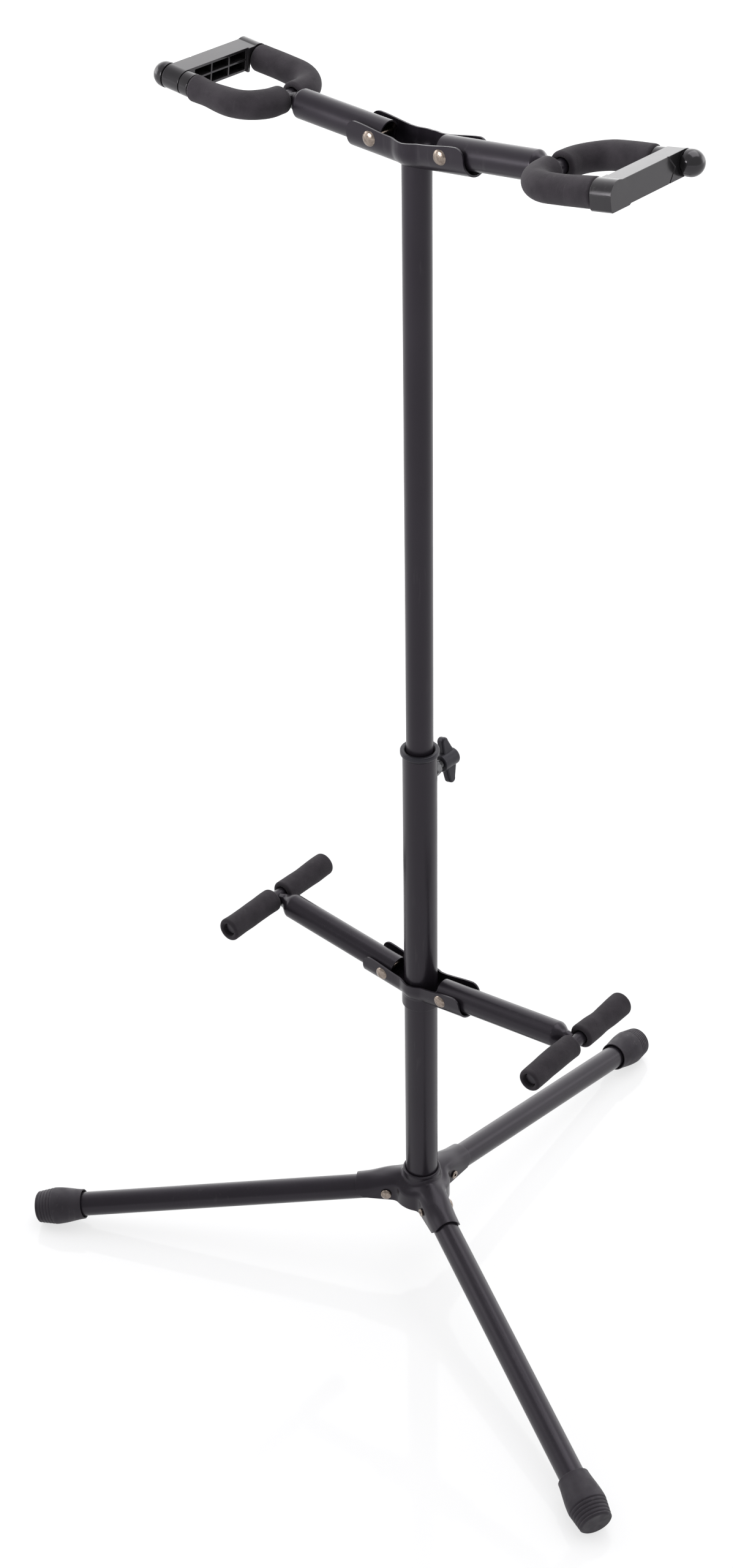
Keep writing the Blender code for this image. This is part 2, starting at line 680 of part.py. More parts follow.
def cradle_point(share, side, lift, turn, slope):
    """One point of a cradle's outer skin.

    share runs from the column to the end, lift from 0 at the arm's axis to 1 at the top edge, and turn
    is the angle round the bottom for points below the axis.
    """
    radius = cradle_outer_radius()
    top = CRADLE_TOP_END * lift
    drop = -radius * math.sin(turn)
    level = top if lift > 0 else drop
    round_off = max(level - (CRADLE_TOP_END - CRADLE_CORNER), 0.0)
    reach = CRADLE_REACH - CRADLE_CORNER + math.sqrt(CRADLE_CORNER ** 2 - min(round_off, CRADLE_CORNER) ** 2)
    reach += CRADLE_LIP * (max(-level, 0.0) / radius) ** LIP_POWER
    x = reach * share
    flat = math.cos(turn)
    bulge = OUTER_TUBE_OD / 2 + CRADLE_BULGE_GAP + CRADLE_WALL - radius
    near = min(x / CRADLE_BULGE_LENGTH, 1.0)
    width = radius + bulge * (1.0 + math.cos(math.pi * near)) / 2
    edge = CRADLE_TOP_MID + (CRADLE_TOP_END - CRADLE_TOP_MID) * smoothstep(
        CRADLE_BULGE_LENGTH, CRADLE_REACH - CRADLE_CORNER, x)
    height = edge * lift if lift > 0 else drop / math.cos(slope)
    return x, side * width * flat, height + x * math.tan(slope)


def cradle_sheet(slope):
    """Outer skin of a pressed cradle: plates joined by a round bottom, both ends rising with the arms."""
    corner = np.linspace(math.pi / 2, 0.0, CRADLE_CORNER_STEPS + 1)
    lifts = [1.0 - CRADLE_CORNER * (1.0 - math.sin(a)) / CRADLE_TOP_END for a in corner]
    turns = np.linspace(0.0, math.pi / 2, CRADLE_BOTTOM_STEPS + 1)
    rows = [(lift, 0.0, -1) for lift in lifts] + [(0.0, turn, -1) for turn in turns]
    rows += [(0.0, turn, 1) for turn in turns[::-1][1:]] + [(lift, 0.0, 1) for lift in lifts[::-1]]
    near = np.linspace(0.0, CRADLE_BULGE_LENGTH, CRADLE_BULGE_STEPS + 1)
    far = np.linspace(CRADLE_BULGE_LENGTH, CRADLE_REACH, CRADLE_PLATE_STEPS + 1)
    shares = [x / CRADLE_REACH for x in (*near, *far[1:])]
    points = []
    for mirror in (-1, 1):
        for share in (shares[::-1] if mirror < 0 else shares[1:]):
            for lift, turn, side in rows:
                x, y, z = cradle_point(share, side, lift, turn, slope)
                points.append((mirror * x, y, z))
    width = len(rows)
    stations = 2 * len(shares) - 1
    faces = []
    for i in range(stations - 1):
        for j in range(width - 1):
            a = i * width + j
            faces.append((a, a + 1, a + width + 1, a + width))
    return points, faces


def build_cradle(name, parent, height, slope, hole_radius):
    """Pressed cradle with a hole for its tube and two pairs of rivet holes."""
    points, faces = cradle_sheet(slope)
    cradle = mesh_object(name, points, faces)
    shell = cradle.modifiers.new("sheet thickness", "SOLIDIFY")
    shell.thickness = CRADLE_WALL
    shell.offset = -1.0
    shell.use_even_offset = True
    place(cradle, parent, (0, 0, height), finish=SATIN_BLACK)
    depth = 2 * cradle_outer_radius()
    bore = cylinder(f"{name}_bore", hole_radius, -depth, depth, COLUMN_SIDES)
    boolean(cradle, cutter(bore, parent, (0, 0, height)))
    for sign, side in ((-1, "left"), (1, "right")):
        spot = (sign * ARM_PIVOT_REACH, 0, height + ARM_PIVOT_REACH * math.tan(slope))
        hole = cylinder(f"{name}_rivet_hole_{side}", RIVET_SHANK_OD / 2 + RIVET_HOLE_GAP,
                        -cradle_outer_radius() - CUT_OVERRUN, cradle_outer_radius() + CUT_OVERRUN,
                        SMALL_SIDES)
        boolean(cradle, cutter(hole, parent, spot, (-math.pi / 2, 0, 0)))
    return cradle


def cradle_rivets(prefix, parent, height, slope):
    """Two rivets with their domed heads to the front."""
    for sign, side in ((-1, "left"), (1, "right")):
        pin = rivet(f"{prefix}_rivet_{side}", CRADLE_RIVET_HEAD_OD, cradle_outer_radius())
        spot = (sign * ARM_PIVOT_REACH, 0, height + ARM_PIVOT_REACH * math.tan(slope))
        place(pin, parent, spot, (math.pi / 2, 0, 0), NICKEL)


def build_mast(guide_frame, mast):
    """Guide bush in the column, and the inner tube that rises from it."""
    bottom = mast_bottom()
    outer = OUTER_TUBE_OD / 2 - OUTER_TUBE_WALL - SLIP_GAP
    spigot = INNER_TUBE_OD / 2 - INNER_TUBE_WALL - SLIP_GAP
    bore = spigot - GUIDE_WALL
    profile = [(spigot, bottom + GUIDE_SPIGOT), (spigot, bottom - SLIP_GAP), (outer, bottom - SLIP_GAP),
               (outer, bottom - SLIP_GAP - GUIDE_FLANGE), (bore, bottom - SLIP_GAP - GUIDE_FLANGE),
               (bore, bottom + GUIDE_SPIGOT)]
    guide = turned("mast_guide", profile, TUBE_SIDES, hollow=True)
    place(guide, guide_frame, finish=KNOB_BLACK)
    profile = tube_profile(INNER_TUBE_OD, INNER_TUBE_WALL, bottom, bottom + INNER_TUBE_LENGTH)
    tube = turned("inner_tube", profile, COLUMN_SIDES, hollow=True)
    place(tube, mast, finish=SATIN_BLACK)


def mast_bottom():
    """Height of the inner tube's lower end inside the column."""
    return column_top() - MAST_OVERLAP


def upper_cradle_height():
    """Height of the arms' axis in the upper cradle, over the inner tube's top."""
    return mast_bottom() + INNER_TUBE_LENGTH + cradle_outer_radius() - CRADLE_TUBE_ENTRY


def build_leg(side, pivot):
    """One leg tube with its rubber boot, along the pivot's own X."""
    end = LEG_REACH - BOOT_END_WALL - WELD_GAP
    tube = turned(f"leg_tube_{side}", tube_profile(LEG_TUBE_OD, LEG_TUBE_WALL, -LEG_STUB, end),
                  TUBE_SIDES, hollow=True)
    place(tube, pivot, rotation=(0, math.pi / 2, 0), finish=SATIN_BLACK)
    boolean(tube, rivet_hole(f"leg_tube_{side}_rivet_hole", LEG_TUBE_OD, pivot))
    build_boot(side, pivot)


def rivet_hole(name, tube_od, pivot):
    """Cutter through both walls of a tube at its pivot, along the pivot's Y."""
    reach = tube_od / 2 + CUT_OVERRUN
    hole = cylinder(name, RIVET_SHANK_OD / 2 + RIVET_HOLE_GAP, -reach, reach, SMALL_SIDES)
    return cutter(hole, pivot, rotation=(-math.pi / 2, 0, 0))


def boot_profile():
    """Boot from its end face back to the mouth, in distance from the mouth, then down the bore."""
    mouth = BOOT_MOUTH_OD / 2
    bell = BOOT_BELL_OD / 2
    taper_end = BOOT_TAPER_END_OD / 2
    corner = BOOT_LENGTH - (BOOT_TAPER_END_OD - BOOT_FACE_OD) / 2
    points = [(0.0, BOOT_LENGTH), (BOOT_FACE_OD / 2, BOOT_LENGTH), (taper_end, corner)]
    steps = 2 * BOOT_RIBS
    for i in range(1, steps):
        share = i / steps
        radius = taper_end + (bell - taper_end) * share
        groove = BOOT_RIB_DEPTH if i % 2 else 0.0
        points.append((radius - groove, corner + (BOOT_BELL_FROM_MOUTH - corner) * share))
    for share in np.linspace(0.0, 1.0, BOOT_BELL_STEPS + 1)[:-1]:
        points.append((mouth + (bell - mouth) * math.cos(share * math.pi / 2) ** BELL_POWER,
                       BOOT_BELL_FROM_MOUTH * (1.0 - share)))
    bore = LEG_TUBE_OD / 2 + WELD_GAP
    points += [(mouth, 0.0), (bore + BOOT_LIP_RECESS, 0.0), (bore, BOOT_LIP_DEPTH),
               (bore, BOOT_LENGTH - BOOT_END_WALL), (0.0, BOOT_LENGTH - BOOT_END_WALL)]
    return points


def boot_lowest():
    """How far the boot would reach below the pivot if its ribs were not cut flat."""
    start = LEG_REACH - BOOT_LENGTH
    return max((start + along) * math.sin(LEG_SLOPE) + radius * math.cos(LEG_SLOPE)
               for radius, along in boot_profile())


def build_boot(side, pivot):
    """Rubber boot over the leg's end, with the small flat that its weight presses on the floor."""
    start = LEG_REACH - BOOT_LENGTH
    profile = [(radius, along + start) for radius, along in boot_profile()]
    boot = turned(f"leg_boot_{side}", profile, TUBE_SIDES)
    place(boot, pivot, rotation=(0, math.pi / 2, 0), finish=RUBBER_GREY)
    floor = -boot_lowest() + BOOT_FLAT_DEPTH
    block = box(f"floor_flat_{side}", (-LEG_REACH, -LEG_REACH, -LEG_REACH), (LEG_REACH, LEG_REACH, 0.0))
    cutter(block, pivot)
    level = Matrix.Rotation(-LEG_SLOPE, 4, "Y")
    block.matrix_local = level @ Matrix.Translation((LEG_REACH, 0, floor))
    boolean(boot, block)
    return boot


def heel_reach(z):
    """How far an arm's inner end may pass its pivot at a height, so that it folds up in the cradle.

    The cradle's round bottom leaves the turning end a ball about the pivot. Above the pivot the end only
    has to be clear once it is folded.
    """
    slack = (ARM_TUBE_OD / 2 + CRADLE_SLACK - HEEL_GAP) ** 2 - (ARM_TUBE_OD / 2) ** 2
    if z <= 0.0:
        return min(math.sqrt(slack), ARM_STUB)
    folded = (math.sqrt(slack + z ** 2) + z * math.cos(ARM_FOLD)) / math.sin(ARM_FOLD)
    return min(folded, ARM_STUB)


def arm_rings(rod_x, radius, inset, steps):
    """Rings of an arm tube's skin: round to the pinch, squeezed between the foams, coped to the rod."""
    angles = np.arange(TUBE_SIDES) * 2 * math.pi / TUBE_SIDES
    neck_width = min(REST_FOAM_START, YOKE_FOAM_START) - SLIP_GAP - inset
    neck_height = ARM_PINCH_HEIGHT / 2 - inset
    end = rod_x - FOAM_OD / 2 - SLIP_GAP
    rings = [[(-heel_reach(ARM_TUBE_OD / 2 * math.sin(a)), radius * math.cos(a), radius * math.sin(a))
              for a in angles]]
    for share in np.linspace(0.0, 1.0, steps + 1):
        blend = smoothstep(0.0, 1.0, share)
        x = end - ARM_PINCH_LENGTH * (1.0 - share)
        half_width = radius + (neck_width - radius) * blend
        half_height = radius + (neck_height - radius) * blend
        rings.append([(x, half_width * math.cos(a), half_height * math.sin(a)) for a in angles])
    tip = []
    for a in angles:
        z = (ARM_TIP_HEIGHT / 2 - inset) * math.sin(a)
        cope = math.sqrt((ROD_DIAMETER / 2 + WELD_GAP) ** 2 - z ** 2)
        tip.append((rod_x - cope - WELD_GAP / 2, neck_width * math.cos(a), z))
    return rings + [tip]


def build_arm(name, pivot, length):
    """Arm tube, pinched on to its cross rod, with a heel that turns inside its cradle."""
    outer = arm_rings(length, ARM_TUBE_OD / 2, 0.0, ARM_OUTSIDE_STEPS)
    inner = arm_rings(length, ARM_TUBE_OD / 2 - ARM_TUBE_WALL, ARM_TUBE_WALL, ARM_INSIDE_STEPS)
    rings = outer + inner[::-1]
    points = [p for ring in rings for p in ring]
    count = len(rings)
    faces = []
    for i in range(count):
        for j in range(TUBE_SIDES):
            k = (j + 1) % TUBE_SIDES
            n = (i + 1) % count
            faces.append((i * TUBE_SIDES + j, n * TUBE_SIDES + j, n * TUBE_SIDES + k, i * TUBE_SIDES + k))
    arm = mesh_object(name, points, faces)
    arm.data.flip_normals()
    place(arm, pivot, finish=SATIN_BLACK)
    boolean(arm, rivet_hole(f"{name}_rivet_hole", ARM_TUBE_OD, pivot))
    return arm


def straight_foam(name, parent, x, start, end, sign):
    """Foam sleeve on a straight rod along Y, rounded at its rims and opened at both mouths."""
    inner = FOAM_OD / 2 - FOAM_ROUND
    bore = FOAM_BORE / 2
    profile = arc((inner, end - FOAM_ROUND), FOAM_ROUND, math.pi / 2, 0.0, FOAM_RIM_STEPS)
    profile += arc((inner, start + FOAM_ROUND), FOAM_ROUND, 0.0, -math.pi / 2, FOAM_RIM_STEPS)
    profile += [(bore + FOAM_MOUTH, start), (bore, start + FOAM_MOUTH), (bore, end - FOAM_MOUTH),
                (bore + FOAM_MOUTH, end)]
    foam = turned(name, profile, FOAM_SIDES, hollow=True)
    place(foam, parent, (x, 0, 0), (-sign * math.pi / 2, 0, 0), FOAM_GREY)
    return foam


def build_back_rest(side, pivot):
    """Cross rod at the end of a lower arm, with two foam sleeves."""
    half = REST_FOAM_END - REST_ROD_RECESS
    rod = cylinder(f"rest_rod_{side}", ROD_DIAMETER / 2, -half, half, TUBE_SIDES)
    place(rod, pivot, (LOWER_ARM_LENGTH, 0, 0), (-math.pi / 2, 0, 0), SATIN_BLACK)
    facing = 1 if side == "right" else -1
    for sign, where in ((-facing, "front"), (facing, "back")):
        straight_foam(f"rest_foam_{side}_{where}", pivot, LOWER_ARM_LENGTH, REST_FOAM_START,
                      REST_FOAM_END, sign)


def yoke_path(sign, start, end):
    """Centre line of one half of the yoke: along Y, round the bend, then out along X."""
    bend = YOKE_BEND_RADIUS
    corner_y = YOKE_HALF_SPREAD - bend
    path = [(0.0, sign * start)]
    path += [(bend - bend * math.cos(a), sign * (corner_y + bend * math.sin(a)))
             for a in np.linspace(0.0, math.pi / 2, YOKE_BEND_STEPS + 1)]
    path.append((end, sign * YOKE_HALF_SPREAD))
    return [(x, y, 0.0) for x, y in path]


def pivot_foam_end():
    """Where the foam stops on the prong that carries the gate's sleeve."""
    return YOKE_REACH - GATE_DEPTH - SLIP_GAP - PIVOT_SLEEVE_LENGTH - SLIP_GAP


def hook_foam_end():
    """Where the foam stops on the prong that the gate's hook drops over."""
    return YOKE_REACH - HOOK_DEPTH - SLIP_GAP


def build_yoke(side, yoke):
    """Bent yoke rod, its two foam sleeves, the gate's sleeve and cap, and the other prong's tip."""
    pivot_end = YOKE_REACH + SLIP_GAP + CAP_NECK_LENGTH + CAP_ROD_DEPTH
    hook_end = YOKE_REACH - HOOK_WALL - SLIP_GAP - GATE_WALL
    path = yoke_path(-1, 0.0, hook_end)[:0:-1] + yoke_path(1, 0.0, pivot_end)[1:]
    rod = bent_rod(f"yoke_rod_{side}", path, ROD_DIAMETER / 2, ROD_SIDES)
    place(rod, yoke, finish=SATIN_BLACK)
    facing = 1 if side == "right" else -1
    for sign, end in ((1, pivot_foam_end()), (-1, hook_foam_end())):
        where = "back" if sign * facing > 0 else "front"
        build_yoke_foam(f"yoke_foam_{side}_{where}", yoke, sign, end)
    build_prong_fittings(side, yoke, hook_end)


def build_yoke_foam(name, yoke, sign, end):
    """Foam sleeve along one half of the yoke, its rims rounded by drawing in the ends of the bar."""
    rim = [(FOAM_ROUND * (1.0 - math.cos(a)), 1.0 - FOAM_ROUND * (1.0 - math.sin(a)) / (FOAM_OD / 2))
           for a in np.linspace(0.0, math.pi / 2, FOAM_RIM_STEPS + 1)]
    start_rim = [(0.0, sign * (YOKE_FOAM_START + along), 0.0) for along, _ in rim]
    end_rim = [(end - along, sign * YOKE_HALF_SPREAD, 0.0) for along, _ in rim[::-1]]
    path = start_rim + yoke_path(sign, YOKE_FOAM_START, end)[1:-1] + end_rim
    shrinks = [share for _, share in rim]
    shrinks += [1.0] * (len(path) - 2 * len(rim)) + shrinks[::-1]
    foam = bent_rod(name, path, FOAM_OD / 2, FOAM_SIDES, shrinks)
    place(foam, yoke, finish=FOAM_GREY)
    bore_path = yoke_path(sign, 0.0, end + CUT_OVERRUN)
    boolean(foam, cutter(bent_rod(f"{name}_bore", bore_path, FOAM_BORE / 2, ROD_SIDES), yoke))
    return foam


def build_prong_fittings(side, yoke, hook_end):
    """Plastic sleeve and domed cap of the pivot prong, and the plastic tip of the hook prong."""
    bore = ROD_DIAMETER / 2 + WELD_GAP
    start = pivot_foam_end() + SLIP_GAP
    shoulder = start + PIVOT_SLEEVE_LENGTH
    bearing = PIVOT_BEARING_OD / 2
    profile = [(bearing, YOKE_REACH), (bearing, shoulder), (PIVOT_SLEEVE_OD / 2, shoulder),
               (PIVOT_SLEEVE_OD / 2, start), (bore, start), (bore, YOKE_REACH)]
    sleeve = turned(f"gate_sleeve_{side}", profile, FOAM_SIDES, hollow=True)
    place(sleeve, yoke, (0, YOKE_HALF_SPREAD, 0), (0, math.pi / 2, 0), GLOSS_BLACK)
    face = YOKE_REACH + SLIP_GAP
    radius = CAP_DOME_OD / 2
    neck_end = face + CAP_NECK_LENGTH
    inside = neck_end + CAP_ROD_DEPTH + WELD_GAP
    profile = dome(radius, neck_end + CAP_BODY_LENGTH, radius, CAP_DOME_STEPS)
    profile += [(radius, neck_end + CAP_EDGE), (CAP_NECK_OD / 2, neck_end), (CAP_NECK_OD / 2, face),
                (bore, face), (bore, inside), (0.0, inside)]
    cap = turned(f"gate_cap_{side}", profile, FOAM_SIDES)
    place(cap, yoke, (0, YOKE_HALF_SPREAD, 0), (0, math.pi / 2, 0), GLOSS_BLACK)
    tip_start = hook_foam_end() + SLIP_GAP
    tip_end = YOKE_REACH - HOOK_WALL - SLIP_GAP
    radius = PRONG_TIP_OD / 2
    inside = hook_end + WELD_GAP
    profile = [(0.0, tip_end), (radius - PRONG_TIP_EDGE, tip_end), (radius, tip_end - PRONG_TIP_EDGE),
               (radius, tip_start), (bore, tip_start), (bore, inside), (0.0, inside)]
    tip = turned(f"prong_tip_{side}", profile, FOAM_SIDES)
    place(tip, yoke, (0, -YOKE_HALF_SPREAD, 0), (0, math.pi / 2, 0), GLOSS_BLACK)


def gate_outline(hook_y, hook_radius):
    """Side outline of the gate bar: round pivot end, flat top, and a hook block standing over it."""
    spread = math.acos(GATE_TOP / hook_radius)
    points = arc((0.0, 0.0), GATE_TOP, math.pi / 2, 0.0, GATE_BARREL_STEPS)
    points += arc((0.0, 0.0), GATE_TOP, 0.0, -math.pi / 2, GATE_BARREL_STEPS, GATE_BOTTOM)[1:]
    near = hook_y + hook_radius
    far = hook_y - hook_radius
    points += [(near + HOOK_CHAMFER, -GATE_BOTTOM), (near, -HOOK_LEG), (far + HOOK_CHAMFER, -HOOK_LEG),
               (far, HOOK_CHAMFER - HOOK_LEG)]
    points += arc((hook_y, 0.0), hook_radius, math.pi, math.pi / 2 - spread, GATE_HOOK_STEPS)
    return points


def build_gate(side, gate):
    """Moulded gate bar: pivot barrel, ribbed hollow bar and a hook open below, along the gate's -Y."""
    hook_y = -2 * YOKE_HALF_SPREAD
    slot = PRONG_TIP_OD / 2 + HOOK_PLAY
    hook_radius = slot + HOOK_WALL
    name = f"gate_bar_{side}"
    side_view = (math.pi / 2, 0, math.pi / 2)
    bar = outline(name, gate_outline(hook_y, hook_radius), HOOK_DEPTH)
    place(bar, gate, (-HOOK_DEPTH / 2, 0, 0), side_view, GLOSS_BLACK)
    step = box(f"{name}_step", (-2 * HOOK_DEPTH, hook_y + hook_radius, -2 * HOOK_LEG),
               (-GATE_DEPTH, 2 * GATE_BOTTOM, 2 * GATE_BOTTOM))
    boolean(bar, cutter(step, gate))
    slot_points = arc((hook_y, 0.0), slot, 0.0, math.pi, GATE_HOOK_STEPS)
    slot_points += [(hook_y - slot, -2 * HOOK_LEG), (hook_y + slot, -2 * HOOK_LEG)]
    slot_depth = HOOK_DEPTH * 2
    opening = outline(f"{name}_slot", slot_points, slot_depth)
    boolean(bar, cutter(opening, gate, (-HOOK_WALL - slot_depth / 2, 0, 0), side_view))
    bore = cylinder(f"{name}_bore", PIVOT_BEARING_OD / 2 + SLIP_GAP, -2 * GATE_DEPTH, GATE_DEPTH, FOAM_SIDES)
    boolean(bar, cutter(bore, gate, rotation=(0, math.pi / 2, 0)))
    for index, (low, high) in enumerate(gate_pockets(hook_y + hook_radius)):
        boolean(bar, cutter(box(f"{name}_pocket_{index}", low, high), gate))
    boolean(bar, cutter(chevron(f"{name}_chevron"), gate, (0, 0, 0), side_view))
    return bar


def gate_pockets(hook_edge):
    """Boxes of the six pockets behind the gate bar's face, between its walls and ribs."""
    first = -PIVOT_BEARING_OD / 2 - SLIP_GAP - GATE_WALL
    last = hook_edge + GATE_WALL
    width = (first - last - 2 * GATE_RIB) / 3
    middle = (GATE_TOP - GATE_BOTTOM) / 2
    pockets = []
    for column in range(3):
        high_y = first - column * (width + GATE_RIB)
        for low_z, high_z in ((GATE_WALL - GATE_BOTTOM, middle - GATE_RIB / 2),
                              (middle + GATE_RIB / 2, GATE_TOP - GATE_WALL)):
            pockets.append(((-2 * GATE_DEPTH, high_y - width, low_z), (-GATE_WALL, high_y, high_z)))
    return pockets


def chevron(name):
    """Cutter for the V groove across the gate bar's outer face."""
    middle = (GATE_TOP - GATE_BOTTOM) / 2
    half = (GATE_TOP + GATE_BOTTOM) / 2 + CUT_OVERRUN
    slant = CHEVRON_RISE * half / (half - CUT_OVERRUN)
    near = -CHEVRON_FROM_PIVOT
    points = [(near, middle), (near - slant, middle + half), (near - slant - CHEVRON_WIDTH, middle + half),
              (near - CHEVRON_WIDTH, middle), (near - slant - CHEVRON_WIDTH, middle - half),
              (near - slant, middle - half)]
    return outline(name, points, 2 * CHEVRON_DEPTH)


def side_turn(side):
    """Turn about Z of the left or right half, which are the same parts turned half a turn."""
    return 0.0 if side == "right" else math.pi


def build_tripod(base):
    """Hub, three leg rivets and three folding legs."""
    build_hub(base)
    for side, azimuth in LEG_AZIMUTHS.items():
        turn = azimuth + HUB_TURN
        spot = (LEG_PIVOT_RADIUS * math.cos(turn), LEG_PIVOT_RADIUS * math.sin(turn), 0)
        pivot = empty(f"leg_pivot_{side}", base, spot, (0, LEG_SLOPE, turn))
        build_leg(side, pivot)
        pin = rivet(f"leg_rivet_{side}", LEG_RIVET_HEAD_OD, leg_channel_half_width())
        place(pin, base, spot, (-math.pi / 2, 0, turn), NICKEL)


def build_lower_arms(base):
    """Lower cradle and the two folding back rests."""
    build_cradle("lower_cradle", base, LOWER_CRADLE_HEIGHT, LOWER_ARM_SLOPE, OUTER_TUBE_OD / 2 + WELD_GAP)
    cradle_rivets("lower", base, LOWER_CRADLE_HEIGHT, LOWER_ARM_SLOPE)
    for side in ("left", "right"):
        pivot = arm_pivot(f"lower_arm_pivot_{side}", base, LOWER_CRADLE_HEIGHT, LOWER_ARM_SLOPE, side)
        build_arm(f"lower_arm_{side}", pivot, LOWER_ARM_LENGTH)
        build_back_rest(side, pivot)


def arm_pivot(name, parent, height, slope, side):
    """Frame on a cradle rivet, with X out along the rising arm."""
    turn = side_turn(side)
    spot = (ARM_PIVOT_REACH * math.cos(turn), 0, height + ARM_PIVOT_REACH * math.tan(slope))
    return empty(name, parent, spot, (0, -slope, turn))


def build_upper_arms(mast):
    """Upper cradle and the two folding neck yokes with their gates."""
    height = upper_cradle_height()
    build_cradle("upper_cradle", mast, height, UPPER_ARM_SLOPE, INNER_TUBE_OD / 2 + WELD_GAP)
    cradle_rivets("upper", mast, height, UPPER_ARM_SLOPE)
    for side in ("left", "right"):
        pivot = arm_pivot(f"upper_arm_pivot_{side}", mast, height, UPPER_ARM_SLOPE, side)
        build_arm(f"upper_arm_{side}", pivot, UPPER_ARM_LENGTH)
        yoke = empty(f"yoke_frame_{side}", pivot, (UPPER_ARM_LENGTH, 0, 0), (0, -YOKE_TILT, 0))
        build_yoke(side, yoke)
        gate = empty(f"gate_pivot_{side}", yoke, (YOKE_REACH, YOKE_HALF_SPREAD, 0))
        build_gate(side, gate)


def stand_on_floor(base):
    """Move the stand so that the middle of its box's underside is the origin."""
    bpy.context.view_layer.update()
    graph = bpy.context.evaluated_depsgraph_get()
    corners = []
    for obj in bpy.data.collections[MODEL].objects:
        if obj.type == "EMPTY":
            continue
        evaluated = obj.evaluated_get(graph)
        corners += [obj.matrix_world @ vertex.co for vertex in evaluated.data.vertices]
    low = Vector([min(corner[i] for corner in corners) for i in range(3)])
    high = Vector([max(corner[i] for corner in corners) for i in range(3)])
    base.location = (-(low.x + high.x) / 2, -(low.y + high.y) / 2, -low.z)
    bpy.context.view_layer.update()


def main():
    """Build the stand from the floor up."""
    clear_scene()
    base = empty("stand_frame", None)
    build_column(base)
    build_collar(base)
    clamp = empty("clamp_frame", base, (0, 0, column_top() - CLAMP_BELOW_TOP),
                  (-math.pi / 2, math.pi / 2 - WING_TILT, 0))
    build_clamp(base, clamp)
    build_tripod(base)
    build_lower_arms(base)
    guide_frame = empty("mast_guide_frame", base)
    mast = empty("mast_frame", guide_frame)
    build_mast(guide_frame, mast)
    build_upper_arms(mast)
    stand_on_floor(base)


main()
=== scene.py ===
"""Double guitar stand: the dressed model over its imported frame.

Lengths are in metres and +Z is up. Every piece is worked out in the axes of the joint or column that
carries it and is then put in its place, so that its object stays at the origin.
"""
import json
import logging
import math
from collections.abc import Callable, Sequence
from dataclasses import dataclass, field
from enum import Enum

import bmesh
import bpy
import numpy as np
from mathutils import Matrix, Vector


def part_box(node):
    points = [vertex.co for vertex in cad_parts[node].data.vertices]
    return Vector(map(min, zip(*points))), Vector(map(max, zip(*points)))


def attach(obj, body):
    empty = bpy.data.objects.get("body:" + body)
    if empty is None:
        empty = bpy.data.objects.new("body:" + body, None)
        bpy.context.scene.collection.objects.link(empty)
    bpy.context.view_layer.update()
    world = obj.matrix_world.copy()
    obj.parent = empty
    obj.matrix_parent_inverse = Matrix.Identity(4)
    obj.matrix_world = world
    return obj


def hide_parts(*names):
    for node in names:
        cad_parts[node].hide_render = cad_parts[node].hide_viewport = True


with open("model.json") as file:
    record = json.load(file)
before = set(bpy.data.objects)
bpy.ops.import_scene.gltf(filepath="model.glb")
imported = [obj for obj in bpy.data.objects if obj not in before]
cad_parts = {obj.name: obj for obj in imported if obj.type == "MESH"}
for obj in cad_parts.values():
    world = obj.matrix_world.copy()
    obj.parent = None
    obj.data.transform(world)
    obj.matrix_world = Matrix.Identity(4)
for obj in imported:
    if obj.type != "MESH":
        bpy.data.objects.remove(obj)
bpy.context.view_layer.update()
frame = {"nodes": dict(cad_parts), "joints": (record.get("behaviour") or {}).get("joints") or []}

LOG = logging.getLogger("guitar_stand")
MM = 0.001
UP = np.array([0.0, 0.0, 1.0])
TURN = 2.0 * math.pi
PLAY = 0.3 * MM  # between pieces that fit together
MERGE = 0.002 * MM  # points nearer than this are one point
SHARP = math.radians(38.0)  # sharper edges stay creased
SETBACK = 0.45  # the most that a rounded corner takes of a side

Array = np.ndarray
Piece = bpy.types.Object
Colour = tuple[float, float, float]
Line = Callable[[Array], tuple[Array, Array, Array]]
Socket = bpy.types.NodeSocket
Sockets = dict[str, Socket]


class Slot(Enum):
    """The record's material slots."""

    STEEL = "satin_black_steel"
    RUBBER = "boot_rubber"
    FOAM = "foam_charcoal"
    MOULDED = "moulded_black"
    KNOB = "knob_plastic"
    NICKEL = "rivet_nickel"
    ZINC = "zinc_steel"


class Side(Enum):
    """The sides that legs, back rests and yokes are named for."""

    LEFT = "left"
    RIGHT = "right"
    BACK = "back"

    @property
    def facing(self) -> float:
        """One for the right side and minus one for the others."""
        return 1.0 if self is Side.RIGHT else -1.0


@dataclass(frozen=True)
class Placement:
    """Where a piece's own axes lie: an origin, and the X, Y and Z directions as rows."""

    origin: Array
    axes: Array

    def world(self, points: Array) -> Array:
        """Carry points from the piece's own axes into the stand's space."""
        return self.origin + points @ self.axes

    def moved(self, x: float = 0.0, y: float = 0.0, z: float = 0.0) -> "Placement":
        """The same axes from an origin moved along them."""
        return Placement(self.origin + np.array([x, y, z]) @ self.axes, self.axes)

    def tilted(self, angle: float) -> "Placement":
        """The axes with X raised towards Z about Y.

        Args:
            angle: how far, in radians.

        Returns:
            The tilted placement.
        """
        x, y, z = self.axes
        raised = x * math.cos(angle) + z * math.sin(angle)
        return Placement(self.origin, np.stack([raised, y, np.cross(raised, y)]))

    def along_x(self) -> "Placement":
        """Axes for a turned piece whose own Z lies along this X, and own X along this Y."""
        x, y, z = self.axes
        return Placement(self.origin, np.stack([y, z, x]))

    def along_y(self) -> "Placement":
        """Axes for a turned piece whose own Z lies along this Y, and own X along this Z."""
        x, y, z = self.axes
        return Placement(self.origin, np.stack([z, x, y]))


